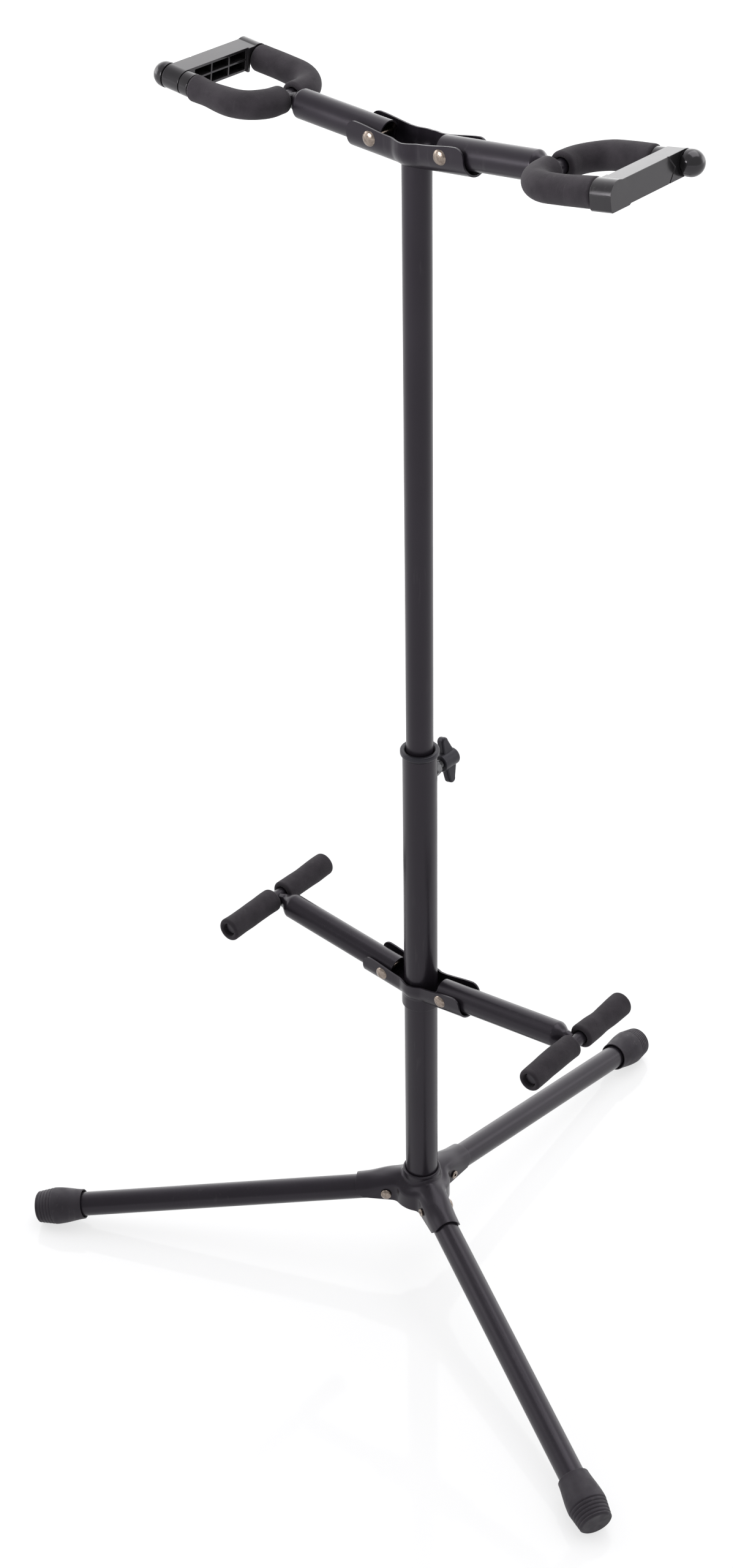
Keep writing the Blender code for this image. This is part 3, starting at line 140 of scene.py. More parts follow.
def hinge_placement(name: str, slope: float, flip: bool = False) -> Placement:
    """Axes on a hinge, with Y along its pin and X out along the part that it carries.

    Args:
        name: the joint's name in the record.
        slope: how far X rises above level, in radians.
        flip: True where the record's axis runs against Y.

    Returns:
        The placement in the stand's space.
    """
    joint = next(j for j in frame["joints"] if j["name"] == name)
    y = np.array(joint["axis"], float) * (-1.0 if flip else 1.0)
    level = np.cross(y, UP)
    x = level * math.cos(slope) + UP * math.sin(slope)
    return Placement(np.array(joint["pos_m"], float), np.stack([x, y, np.cross(x, y)]))


def smoothstep(low: float, high: float, value: Array) -> Array:
    """Rise from 0 to 1 between two values with level ends: 3 t squared minus 2 t cubed."""
    share = np.clip((value - low) / (high - low), 0.0, 1.0)
    return share * share * (3.0 - 2.0 * share)


def softened(profile: Array, cut: Array | float, steps: int = 3, closed: bool = False) -> Array:
    """Round the corners of a polyline.

    Each corner becomes a quadratic curve between points set back by cut along its two sides, with the
    corner as the control point. The set-back is never more than a set share of a side.

    Args:
        profile: the polyline's points as rows.
        cut: set-back for every corner, or one for each.
        steps: segments in each rounded corner.
        closed: True where the last point joins the first.

    Returns:
        The rounded polyline.
    """
    before = np.roll(profile, 1, axis=0) - profile
    after = np.roll(profile, -1, axis=0) - profile
    length_before = np.linalg.norm(before, axis=1)
    length_after = np.linalg.norm(after, axis=1)
    room = SETBACK * np.minimum(length_before, length_after)
    reach = np.minimum(np.broadcast_to(cut, len(profile)), room)
    if not closed:
        reach = np.concatenate([[0.0], reach[1:-1], [0.0]])
    start = profile + before * (reach / np.maximum(length_before, MERGE))[:, None]
    end = profile + after * (reach / np.maximum(length_after, MERGE))[:, None]
    t = np.linspace(0.0, 1.0, steps + 1)[None, :, None]
    towards_corner = 2 * t * (1 - t) * profile[:, None]
    curve = (1 - t) ** 2 * start[:, None] + towards_corner + t ** 2 * end[:, None]
    rounded = curve.reshape(-1, profile.shape[1])
    apart = np.linalg.norm(np.diff(rounded, axis=0), axis=1) > MERGE
    return rounded[np.concatenate([[True], apart])]


def arc(centre: tuple[float, float], radius: float, start: float, end: float, steps: int,
        radius_y: float | None = None) -> Array:
    """Points on a circle or ellipse: the centre plus radius times cosine and radius_y times sine.

    Args:
        centre: the middle.
        radius: half width.
        start: first angle.
        end: last angle.
        steps: number of segments.
        radius_y: half height, if it isn't the radius.

    Returns:
        The points, both ends included.
    """
    angle = np.linspace(start, end, steps + 1)
    across, along = radius * np.cos(angle), (radius_y or radius) * np.sin(angle)
    return np.stack([centre[0] + across, centre[1] + along], -1)


def turned_grid(profile: Array, sides: int) -> Array:
    """Surface of revolution about Z: radius times cosine and sine of the angle, at each height.

    Args:
        profile: rows of radius and height.
        sides: number of angles.

    Returns:
        Points by angle and profile point.
    """
    angle = np.linspace(0.0, TURN, sides, endpoint=False)[:, None]
    radius, height = profile[:, 0], profile[:, 1]
    return np.stack([radius * np.cos(angle), radius * np.sin(angle), height + 0.0 * angle], -1)


@dataclass
class Skin:
    """A mesh gathered from grids of points, which becomes one piece."""

    name: str
    points: list[Array] = field(default_factory=list)
    faces: list[list[int]] = field(default_factory=list)
    count: int = 0

    def add(self, grid: Array, wrap_rows: bool = False, wrap_columns: bool = False, flip: bool = False,
            caps: bool = False) -> "Skin":
        """Add a grid of points, joined into quads between neighbouring rows and columns.

        Args:
            grid: points by row and column.
            wrap_rows: True where the last row joins the first.
            wrap_columns: True where the last column joins the first.
            flip: True to turn the faces over.
            caps: True to close the first and last rows with a flat face each.

        Returns:
            The skin itself.
        """
        rows, columns = grid.shape[:2]
        index = np.arange(rows * columns).reshape(rows, columns) + self.count
        if wrap_rows:
            index = np.concatenate([index, index[:1]])
        if wrap_columns:
            index = np.concatenate([index, index[:, :1]], axis=1)
        quads = np.stack([index[:-1, :-1], index[1:, :-1], index[1:, 1:], index[:-1, 1:]], -1)
        quads = quads.reshape(-1, 4)
        self.faces += (quads[:, ::-1] if flip else quads).tolist()
        if caps:
            self.faces += [index[0, :columns].tolist(), index[-1, :columns][::-1].tolist()]
        self.points.append(grid.reshape(-1, 3))
        self.count += rows * columns
        return self

    def piece(self, closed: bool = True) -> Piece:
        """Make the piece, with doubles merged.

        Args:
            closed: True to point the faces outwards.

        Returns:
            The piece.
        """
        mesh = bpy.data.meshes.new(self.name)
        mesh.from_pydata(np.concatenate(self.points).tolist(), [], self.faces)
        shape = bmesh.new()
        shape.from_mesh(mesh)
        bmesh.ops.remove_doubles(shape, verts=shape.verts, dist=MERGE)
        bmesh.ops.dissolve_degenerate(shape, edges=shape.edges, dist=MERGE)
        if closed:
            bmesh.ops.recalc_face_normals(shape, faces=shape.faces)
        shape.to_mesh(mesh)
        shape.free()
        made = bpy.data.objects.new(self.name, mesh)
        bpy.context.scene.collection.objects.link(made)
        return made


def turned_piece(name: str, profile: Array, sides: int, placement: Placement,
                 hollow: bool = False) -> Piece:
    """A piece turned about its placement's Z from a profile, which closes on itself if it is hollow."""
    grid = placement.world(turned_grid(profile, sides))
    return Skin(name).add(grid, wrap_rows=True, wrap_columns=hollow).piece()


def cylinder_piece(name: str, radius: float, low: float, high: float, sides: int,
                   placement: Placement) -> Piece:
    """A closed cylinder along the placement's Z, for cutting with."""
    profile = np.array([(0.0, high), (radius, high), (radius, low), (0.0, low)])
    return turned_piece(name, profile, sides, placement)


def extruded_piece(name: str, outline: Array, low: float, high: float, placement: Placement) -> Piece:
    """A flat outline drawn straight along Z, with a flat face at each end.

    Args:
        name: the piece's name.
        outline: rows of X and Y.
        low: Z of the first face.
        high: Z of the last face.
        placement: axes that it is drawn in.

    Returns:
        The piece.
    """
    flat = np.concatenate([outline, np.zeros((len(outline), 1))], axis=1)
    grid = np.stack([flat + [0.0, 0.0, low], flat + [0.0, 0.0, high]])
    return Skin(name).add(placement.world(grid), wrap_columns=True, caps=True).piece()


def box_piece(name: str, low: Sequence[float], high: Sequence[float], placement: Placement) -> Piece:
    """A block between two corners, for cutting with."""
    outline = np.array([(low[0], low[1]), (high[0], low[1]), (high[0], high[1]), (low[0], high[1])])
    return extruded_piece(name, outline, low[2], high[2], placement)


def settle(piece: Piece) -> None:
    """Put the result of a piece's modifiers into its mesh and take the modifiers off.

    Args:
        piece: what is settled.
    """
    graph = bpy.context.evaluated_depsgraph_get()
    made = bpy.data.meshes.new_from_object(piece.evaluated_get(graph))
    piece.modifiers.clear()
    piece.data = made


def combine(piece: Piece, blocks: Sequence[Piece], operation: str) -> None:
    """Join closed blocks to a closed piece or take them from it, and remove the blocks.

    Args:
        piece: what is changed.
        blocks: what is joined or taken.
        operation: "UNION" or "DIFFERENCE".
    """
    for block in blocks:
        step = piece.modifiers.new(block.name, "BOOLEAN")
        step.operation = operation
        step.solver = "EXACT"
        step.object = block
    settle(piece)
    for block in blocks:
        bpy.data.objects.remove(block)


def carve(piece: Piece, cutters: Sequence[Piece]) -> None:
    """Cut closed blocks out of a closed piece."""
    combine(piece, cutters, "DIFFERENCE")


def thicken(piece: Piece, wall: float) -> None:
    """Give a skin its wall inwards.

    Args:
        piece: the skin.
        wall: the wall's thickness.
    """
    shell = piece.modifiers.new("wall", "SOLIDIFY")
    shell.thickness = wall
    shell.offset = -1.0
    shell.use_even_offset = True
    settle(piece)


def soften_edges(piece: Piece, width: float, segments: int, angle: float) -> None:
    """Round the sharp edges of a piece.

    Args:
        piece: what is rounded.
        width: set-back of the rounding.
        segments: faces across it.
        angle: least angle of a sharp edge, in degrees.
    """
    rounding = piece.modifiers.new("soft edges", "BEVEL")
    rounding.width = width
    rounding.segments = segments
    rounding.limit_method = "ANGLE"
    rounding.angle_limit = math.radians(angle)
    settle(piece)


def even_normals(piece: Piece) -> None:
    """Weight normals by face area, so that flat faces shade flat up to their edges.

    Args:
        piece: what is shaded.
    """
    weighting = piece.modifiers.new("even normals", "WEIGHTED_NORMAL")
    weighting.keep_sharp = True
    settle(piece)


@dataclass(frozen=True)
class Graph:
    """A node tree that nodes are added to by kind, with their inputs given by name."""

    tree: bpy.types.NodeTree

    def add(self, kind: str, inputs: dict[str | int, object], **settings: object) -> bpy.types.Node:
        """Add one node.

        Args:
            kind: the node's type without its Shader Node prefix.
            inputs: a value or a socket for each input, by its name or number.
            settings: properties of the node.

        Returns:
            The node.
        """
        node = self.tree.nodes.new(f"ShaderNode{kind}")
        for key, value in settings.items():
            setattr(node, key, value)
        for key, value in inputs.items():
            if isinstance(value, Socket):
                self.tree.links.new(value, node.inputs[key])
            else:
                node.inputs[key].default_value = value
        return node

    def effect(self, group: bpy.types.NodeTree, output: str, inputs: dict[str, object]) -> Socket:
        """Place a shared effect and return its output of that name."""
        return self.add("Group", inputs, node_tree=group).outputs[output]

    def math(self, operation: str, *values: object) -> Socket:
        """One step of arithmetic on numbers or sockets."""
        return self.add("Math", dict(enumerate(values)), operation=operation).outputs[0]

    def noise(self, at: Socket, scale: object, detail: float, roughness: float = 0.5) -> Socket:
        """Noise between 0 and 1 at a place."""
        inputs = {"Vector": at, "Scale": scale, "Detail": detail, "Roughness": roughness}
        return self.add("TexNoise", inputs).outputs["Fac"]

    def remap(self, value: Socket, low: float, high: float, to_low: object = 0.0,
              to_high: object = 1.0, **settings: object) -> Socket:
        """Map one range of a value on to another, held at both ends.

        Args:
            value: what is mapped.
            low: value that becomes to_low.
            high: value that becomes to_high.
            to_low: result at the low end.
            to_high: result at the high end.
            settings: properties of the node.

        Returns:
            The result.
        """
        inputs = {"Value": value, "From Min": low, "From Max": high, "To Min": to_low, "To Max": to_high}
        return self.add("MapRange", inputs, **settings).outputs["Result"]

    def blend(self, mask: Socket, first: object, second: object) -> Socket:
        """Mix two colours by a mask: all first at 0, all second at 1."""
        return self.add("Mix", {0: mask, 6: first, 7: second}, data_type="RGBA").outputs[2]


def effect_group(name: str, inputs: dict[str, float | None], output: str,
                 build: Callable[[Graph, Sockets], Socket]) -> bpy.types.NodeTree:
    """Build a shared effect as a node group.

    Args:
        name: the group's name.
        inputs: default of each number input, or None for a vector.
        output: name of its number output.
        build: draws the inside from the input sockets and returns the output's socket.

    Returns:
        The group's tree.
    """
    tree = bpy.data.node_groups.new(name, "ShaderNodeTree")
    for key, default in inputs.items():
        kind = "NodeSocketVector" if default is None else "NodeSocketFloat"
        socket = tree.interface.new_socket(key, in_out="INPUT", socket_type=kind)
        if default is not None:
            socket.default_value = default
    tree.interface.new_socket(output, in_out="OUTPUT", socket_type="NodeSocketFloat")
    start = tree.nodes.new("NodeGroupInput")
    end = tree.nodes.new("NodeGroupOutput")
    made = build(Graph(tree), {socket.name: socket for socket in start.outputs if socket.name})
    tree.links.new(made, end.inputs[output])
    return tree


def draw_drift(graph: Graph, at: Sockets) -> Socket:
    """Slow cloudy change between a low and a high value."""
    cloud = graph.noise(at["Vector"], at["Scale"], 3.0)
    return graph.remap(cloud, 0.32, 0.68, at["Low"], at["High"])


def draw_grain(graph: Graph, at: Sockets) -> Socket:
    """Fine relief: two sizes of noise, the finer one at a third of the height."""
    fine = graph.noise(at["Vector"], graph.math("MULTIPLY", at["Scale"], 3.3), 2.0)
    return graph.math("MULTIPLY_ADD", fine, 0.33, graph.noise(at["Vector"], at["Scale"], 2.0))


def draw_cells(graph: Graph, at: Sockets) -> Socket:
    """Open cells of foam: pits at the middles of small cells, with noise over them.

    Args:
        graph: the group's inside.
        at: its input sockets.

    Returns:
        The height.
    """
    cells = graph.add("TexVoronoi", {"Vector": at["Vector"], "Scale": at["Scale"], "Randomness": 1.0})
    pits = graph.remap(cells.outputs["Distance"], 0.05, 0.55)
    lumps = graph.noise(at["Vector"], graph.math("MULTIPLY", at["Scale"], 0.35), 4.0, 0.65)
    return graph.math("MULTIPLY_ADD", lumps, 1.6, pits)


def draw_scuffs(graph: Graph, at: Sockets) -> Socket:
    """Rubbed marks: thin streaks of stretched noise that show only in a few patches.

    Args:
        graph: the group's inside.
        at: its input sockets.

    Returns:
        The mask.
    """
    stretched = graph.add("Mapping", {"Vector": at["Vector"], "Scale": (1.0, 1.0, 0.12),
                                      "Rotation": (0.4, 0.5, 0.0)}).outputs["Vector"]
    thin = graph.remap(graph.noise(stretched, at["Scale"], 3.0), 0.58, 0.70, 0.0, at["Amount"])
    patches = graph.noise(at["Vector"], graph.math("MULTIPLY", at["Scale"], 0.07), 1.0)
    return graph.math("MULTIPLY", thin, graph.remap(patches, 0.50, 0.64))


def draw_dust(graph: Graph, at: Sockets) -> Socket:
    """Settled dust: more where the surface faces up, broken up by noise.

    Args:
        graph: the group's inside.
        at: its input sockets.

    Returns:
        The mask.
    """
    facing = graph.add("SeparateXYZ", {"Vector": at["Normal"]}).outputs["Z"]
    level = graph.remap(facing, 0.1, 0.95, 0.0, at["Amount"])
    broken = graph.remap(graph.noise(at["Vector"], 160.0, 4.0), 0.35, 0.75, 0.2)
    return graph.math("MULTIPLY", level, broken)


@dataclass(frozen=True)
class Effects:
    """The shared node groups."""

    drift: bpy.types.NodeTree
    grain: bpy.types.NodeTree
    cells: bpy.types.NodeTree
    scuffs: bpy.types.NodeTree
    dust: bpy.types.NodeTree

    @classmethod
    def build(cls) -> "Effects":
        """Build each group once.

        Returns:
            The groups.
        """
        return cls(
            effect_group("Cloudy Drift", {"Vector": None, "Scale": 20.0, "Low": 0.0, "High": 1.0},
                         "Value", draw_drift),
            effect_group("Fine Grain", {"Vector": None, "Scale": 900.0}, "Height", draw_grain),
            effect_group("Foam Cells", {"Vector": None, "Scale": 900.0}, "Height", draw_cells),
            effect_group("Rubbed Scuffs", {"Vector": None, "Scale": 200.0, "Amount": 1.0}, "Mask",
                         draw_scuffs),
            effect_group("Settled Dust", {"Vector": None, "Normal": None, "Amount": 0.2}, "Mask",
                         draw_dust))


SCUFF_SCALE = 260.0
ROUGHNESS_DRIFT = 2.3  # how much finer the roughness drifts than the colour
SHEEN_ROUGHNESS = 0.6


@dataclass(frozen=True)
class Finish:
    """A finish whose colour and roughness drift slowly over a fine relief.

    The colour runs from dark to light with the drift, and marks pull it towards the mark's own colour.
    Gloss is the colour that reflections take when they are seen head on.
    """

    slot: Slot
    dark: Colour
    light: Colour
    mark: Colour
    roughness: tuple[float, float]
    drift_scale: float
    grain_scale: float
    grain_depth: float
    marks: float = 0.0
    dust: float = 0.0
    metallic: float = 0.0
    specular: float = 0.5
    sheen: float = 0.0
    gloss: Colour = (1.0, 1.0, 1.0)

    def relief(self, graph: Graph, effects: Effects, spot: Socket) -> Socket:
        """Height of the fine relief."""
        return graph.effect(effects.grain, "Height", {"Vector": spot, "Scale": self.grain_scale})

    def marked(self, graph: Graph, effects: Effects, spot: Socket) -> Socket:
        """Mask of the marks: scuffs and settled dust, whichever is the stronger.

        Args:
            graph: the material's tree.
            effects: the shared node groups.
            spot: place on the piece.

        Returns:
            The mask.
        """
        scuffs = graph.effect(effects.scuffs, "Mask",
                              {"Vector": spot, "Scale": SCUFF_SCALE, "Amount": self.marks})
        facing = graph.add("NewGeometry", {}).outputs["Normal"]
        dust = graph.effect(effects.dust, "Mask",
                            {"Vector": spot, "Normal": facing, "Amount": self.dust})
        return graph.math("MAXIMUM", scuffs, dust)

    def material(self, effects: Effects) -> bpy.types.Material:
        """Build the material of this finish.

        Args:
            effects: the shared node groups.

        Returns:
            The material, named for its slot.
        """
        made = bpy.data.materials.new(self.slot.value)
        made.use_nodes = True
        graph = Graph(made.node_tree)
        shader = made.node_tree.nodes["Principled BSDF"]
        spot = graph.add("TexCoord", {}).outputs["Object"]
        drift = graph.effect(effects.drift, "Value",
                             {"Vector": spot, "Scale": self.drift_scale, "Low": 0.0, "High": 1.0})
        tint = graph.blend(drift, (*self.dark, 1.0), (*self.light, 1.0))
        colour = graph.blend(self.marked(graph, effects, spot), tint, (*self.mark, 1.0))
        smooth, rough = self.roughness
        roughness = graph.effect(effects.drift, "Value",
                                 {"Vector": spot, "Scale": self.drift_scale * ROUGHNESS_DRIFT,
                                  "Low": smooth, "High": rough})
        bump = graph.add("Bump", {"Height": self.relief(graph, effects, spot), "Strength": 1.0,
                                  "Distance": self.grain_depth})
        for socket, varying in (("Base Color", colour), ("Roughness", roughness),
                                ("Normal", bump.outputs["Normal"])):
            made.node_tree.links.new(varying, shader.inputs[socket])
        for socket, value in (("Metallic", self.metallic), ("Specular IOR Level", self.specular),
                              ("Specular Tint", (*self.gloss, 1.0)), ("Sheen Weight", self.sheen),
                              ("Sheen Roughness", SHEEN_ROUGHNESS)):
            shader.inputs[socket].default_value = value
        return made


@dataclass(frozen=True)
class FoamFinish(Finish):
    """Closed-cell foam: its relief is small open cells."""

    def relief(self, graph: Graph, effects: Effects, spot: Socket) -> Socket:
        """Height of the foam's cells."""
        return graph.effect(effects.cells, "Height", {"Vector": spot, "Scale": self.grain_scale})


FINISHES: tuple[Finish, ...] = (
    Finish(Slot.STEEL, (0.0105, 0.0088, 0.0118), (0.0135, 0.0115, 0.0150), (0.06, 0.057, 0.06),
           (0.27, 0.33), 14.0, 1100.0, 0.008 * MM, marks=0.15, dust=0.04, specular=0.29,
           gloss=(0.95, 0.88, 1.0)),
    Finish(Slot.RUBBER, (0.014, 0.012, 0.015), (0.021, 0.0185, 0.022), (0.060, 0.056, 0.058),
           (0.50, 0.65), 60.0, 1500.0, 0.03 * MM, marks=0.4, dust=0.08, specular=0.3,
           gloss=(0.94, 0.88, 1.0)),
    FoamFinish(Slot.FOAM, (0.019, 0.0162, 0.020), (0.028, 0.024, 0.029), (0.050, 0.045, 0.050),
               (0.88, 0.98), 95.0, 1300.0, 0.08 * MM, marks=0.3, dust=0.12, specular=0.15, sheen=0.05),
    Finish(Slot.MOULDED, (0.0085, 0.0080, 0.0090), (0.0125, 0.0120, 0.0125), (0.06, 0.058, 0.056),
           (0.13, 0.20), 45.0, 700.0, 0.008 * MM, marks=0.3, dust=0.04, gloss=(0.98, 0.94, 1.0)),
    Finish(Slot.KNOB, (0.0085, 0.0080, 0.0105), (0.0125, 0.0118, 0.0150), (0.05, 0.048, 0.052),
           (0.34, 0.46), 70.0, 1700.0, 0.02 * MM, marks=0.3, dust=0.04, specular=0.32,
           gloss=(0.90, 0.88, 1.0)),
    Finish(Slot.NICKEL, (0.185, 0.15, 0.128), (0.31, 0.26, 0.225), (0.10, 0.078, 0.06),
           (0.18, 0.30), 420.0, 2600.0, 0.02 * MM, marks=0.7, metallic=1.0),
    Finish(Slot.ZINC, (0.085, 0.085, 0.09), (0.14, 0.14, 0.145), (0.06, 0.058, 0.055),
           (0.30, 0.44), 260.0, 2400.0, 0.02 * MM, marks=0.5, metallic=1.0),
)


@dataclass
class Workshop:
    """Dresses pieces and hangs them on the bodies that carry them."""

    materials: dict[Slot, bpy.types.Material]
    made: int = 0

    def finish(self, piece: Piece, body: str, slot: Slot, stands_for: Sequence[str] = ()) -> None:
        """Give a piece its finish, its body and the CAD nodes that it stands for.

        Args:
            piece: the finished shape.
            body: name of the CAD body that carries it.
            slot: material slot of its finish.
            stands_for: CAD nodes that it replaces.
        """
        piece.data.materials.clear()
        piece.data.materials.append(self.materials[slot])
        piece.data.shade_smooth()
        piece.data.set_sharp_from_angle(angle=SHARP)
        if slot is not Slot.FOAM:
            even_normals(piece)
        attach(piece, body)
        if stands_for:
            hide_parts(*stands_for)
        self.made += 1
        LOG.info("%s rides on %s with %d faces", piece.name, body, len(piece.data.polygons))

    def dress_node(self, node: str, slot: Slot) -> None:
        """Give a CAD node that stays its finish.

        Args:
            node: the node's name.
            slot: material slot of its finish.
        """
        part = frame["nodes"][node]
        if not part.material_slots:
            part.data.materials.append(None)
        for place in part.material_slots:
            place.material = self.materials[slot]
        LOG.info("%s keeps its CAD shape", node)


@dataclass(frozen=True)
class TubeShape:
    """A round tube with softened ends."""

    outer: float
    wall: float
    edge: float = 0.35 * MM
    sides: int = 96

    def piece(self, name: str, low: float, high: float, placement: Placement) -> Piece:
        """A length of this tube along the placement's Z.

        Args:
            name: the piece's name.
            low: where it starts.
            high: where it ends.
            placement: axes with Z along the tube.

        Returns:
            The piece.
        """
        out = self.outer / 2
        inner = out - self.wall
        profile = np.array([(out, high), (out, low), (inner, low), (inner, high)])
        return turned_piece(name, softened(profile, self.edge, 2, True), self.sides, placement, True)


def pin_hole(name: str, radius: float, reach: float, placement: Placement) -> Piece:
    """A round cutter along the placement's Y, reaching as far both ways."""
    return cylinder_piece(name, radius, -reach, reach, 32, placement.along_y())


@dataclass(frozen=True)
class Rivet:
    """A rivet with a domed head, and a rolled hollow end on the other side."""

    shank: float = 5.0 * MM
    hole: float = 5.6 * MM
    head_height: float = 3.0 * MM
    head_edge: float = 0.5 * MM
    roll: float = 7.6 * MM
    roll_height: float = 1.6 * MM
    roll_radius: float = 0.9 * MM
    dimple: float = 3.0 * MM
    dimple_flare: float = 0.25 * MM
    dimple_rim: float = 0.3 * MM
    dimple_depth: float = 0.8 * MM

    def piece(self, name: str, head: float, half_grip: float, placement: Placement) -> Piece:
        """The rivet along the placement's Z, with its head at the positive end.

        The head is a dome: its height is its edge plus the rise times the square root of one minus the
        radius share squared.

        Args:
            name: the piece's name.
            head: diameter of the head.
            half_grip: half of what the rivet holds together.
            placement: axes on the middle of the grip.

        Returns:
            The piece.
        """
        top = half_grip + PLAY
        tail = -top
        share = np.sin(np.linspace(0.0, math.pi / 2, 15))
        rise = (self.head_height - self.head_edge) * np.sqrt(np.maximum(1.0 - share ** 2, 0.0))
        dome = np.stack([head / 2 * share, top + self.head_edge + rise], -1)
        foot = tail - self.roll_height
        shank, dimple, half_roll = self.shank / 2, self.dimple / 2, self.roll_height / 2
        lower = np.array([(head / 2, top), (shank, top), (shank, tail)])
        rolled = arc((self.roll / 2 - self.roll_radius, tail - half_roll), self.roll_radius,
                     math.pi / 2, -math.pi / 2, 8, half_roll)
        floor = tail + self.dimple_depth
        hollow = np.array([(dimple + self.dimple_flare, foot), (dimple, foot + self.dimple_rim),
                           (dimple, floor), (0.0, floor)])
        return turned_piece(name, np.concatenate([dome, lower, rolled, hollow]), 40, placement)


@dataclass(frozen=True)
class Column:
    """The two column tubes, the bush in the outer one's mouth, and the clamp."""

    outer: TubeShape = TubeShape(28.6 * MM, 1.5 * MM)
    inner: TubeShape = TubeShape(22.2 * MM, 1.2 * MM)
    lip_radius: float = 16.2 * MM
    lip_height: float = 5.6 * MM
    lip_chamfer: float = 1.6 * MM
    funnel: float = 1.6 * MM
    funnel_depth: float = 2.0 * MM
    sleeve: float = 36.0 * MM
    screw_radius: float = 4.0 * MM
    screw_nose: float = 2.6 * MM
    screw_crown: float = 3.2 * MM
    screw_taper: float = 1.2 * MM
    thread_pitch: float = 1.25 * MM
    thread_depth: float = 0.62 * MM
    nut_flats: float = 13.0 * MM
    nut_thickness: float = 6.5 * MM
    nut_face: float = 0.97  # the cone's radius at a face, as a share of half the flats
    nut_chamfer: float = 1.6  # how fast the cone widens
    standoff: float = 11.7 * MM
    knob_radius: float = 7.5 * MM
    knob_length: float = 20.0 * MM
    knob_bore: float = 10.0 * MM
    knob_dome: float = 3.0 * MM
    knob_edge: float = 0.6 * MM
    wing_span: float = 41.0 * MM
    wing_width: float = 7.0 * MM
    wing_depth: float = 9.0 * MM
    wing_offset: float = 4.2 * MM
    wing_end: float = 3.8 * MM
    wing_shoulder: float = 1.5 * MM
    wing_corner: float = 1.2 * MM
    wing_edge: float = 1.7 * MM
    wing_turn: float = math.radians(13.4)

    def axis(self) -> Placement:
        """The column's axis at the level of the floor."""
        low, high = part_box("outer_tube")
        return Placement(np.array([(low.x + high.x) / 2, (low.y + high.y) / 2, 0.0]), np.eye(3))

    def clamp_axis(self) -> Placement:
        """Axes on the clamp, with Z out along the screw."""
        joint = next(j for j in frame["joints"] if j["name"] == "knob_turn")
        return Placement(np.array(joint["pos_m"], float), np.eye(3)).along_y()

    def build(self, shop: Workshop) -> None:
        """Build and dress the tubes, the bush and the clamp.

        Args:
            shop: dresses the pieces.
        """
        axis = self.axis()
        clamp = self.clamp_axis()
        low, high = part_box("outer_tube")
        tube = self.outer.piece("column_tube", low.z, high.z, axis)
        carve(tube, [self.screw_hole("tube_clamp_hole", clamp)])
        shop.finish(tube, "base", Slot.STEEL, ["outer_tube"])
        low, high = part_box("inner_tube")
        mast = self.inner.piece("mast_tube", low.z, high.z, axis)
        shop.finish(mast, "mast", Slot.STEEL, ["inner_tube"])
        shop.finish(self.bush(axis, clamp), "base", Slot.KNOB, ["tube_collar"])
        shop.finish(self.nut(clamp), "base", Slot.ZINC, ["clamp_nut"])
        shop.finish(self.screw(clamp), "clamp", Slot.ZINC, ["clamp_screw"])
        shop.finish(self.knob(clamp), "clamp", Slot.KNOB, ["wing_knob"])
        shop.dress_node("mast_guide", Slot.KNOB)

    def screw_hole(self, name: str, clamp: Placement) -> Piece:
        """Cutter for the screw, from the column's axis outwards."""
        return cylinder_piece(name, self.screw_radius + PLAY, 0.0, self.outer.outer, 32, clamp)

    def bush(self, axis: Placement, clamp: Placement) -> Piece:
        """Flanged bush: a rolled lip on the tube's mouth, a funnel inside it and a hidden sleeve.

        Args:
            axis: the column's axis.
            clamp: axes on the clamp.

        Returns:
            The piece.
        """
        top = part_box("outer_tube")[1].z
        sleeve = self.outer.outer / 2 - self.outer.wall - PLAY
        bore = self.inner.outer / 2 + PLAY
        seat = top + PLAY
        rim = seat + self.lip_height
        profile = np.array([(self.lip_radius, rim), (self.lip_radius, seat + self.lip_chamfer),
                            (self.outer.outer / 2 + PLAY, seat), (sleeve, seat),
                            (sleeve, top - self.sleeve), (bore, top - self.sleeve),
                            (bore, rim - self.funnel_depth), (bore + self.funnel, rim)])
        cuts = np.array([1.8, 0.9, 0.3, 0.1, 0.3, 0.3, 0.9, 0.7]) * MM
        bush = turned_piece("column_bush", softened(profile, cuts, 5, True), 96, axis, True)
        carve(bush, [self.screw_hole("bush_clamp_hole", clamp)])
        return bush

    def nut(self, clamp: Placement) -> Piece:
        """Hexagon nut with chamfered corners and a plain bore.

        The outside is the smaller of the hexagon, half the flats over the cosine of the angle from the
        nearest flat, and a cone that runs down to the flats at both faces.

        Args:
            clamp: axes on the clamp.

        Returns:
            The piece.
        """
        start = self.outer.outer / 2 + PLAY
        angle = np.linspace(0.0, TURN, 96, endpoint=False)[:, None]
        half_side = math.pi / 6
        from_flat = (angle + half_side) % (2 * half_side) - half_side
        rings = np.array([0.0, 0.4, 0.9, 1.6]) * MM
        depth = np.concatenate([rings, self.nut_thickness - rings[::-1]])
        flats = self.nut_flats / 2
        from_face = np.minimum(depth, self.nut_thickness - depth)
        radius = np.minimum(flats / np.cos(from_flat),
                            flats * self.nut_face + from_face * self.nut_chamfer)
        across, up = radius * np.cos(angle), radius * np.sin(angle)
        outside = np.stack([across, up, start + depth + 0 * angle], -1)
        hole = self.screw_radius + PLAY
        bore = turned_grid(np.array([(hole, start + self.nut_thickness), (hole, start)]), 96)
        grid = np.concatenate([outside, bore], axis=1)
        return Skin("weld_nut").add(clamp.world(grid), wrap_rows=True, wrap_columns=True).piece()

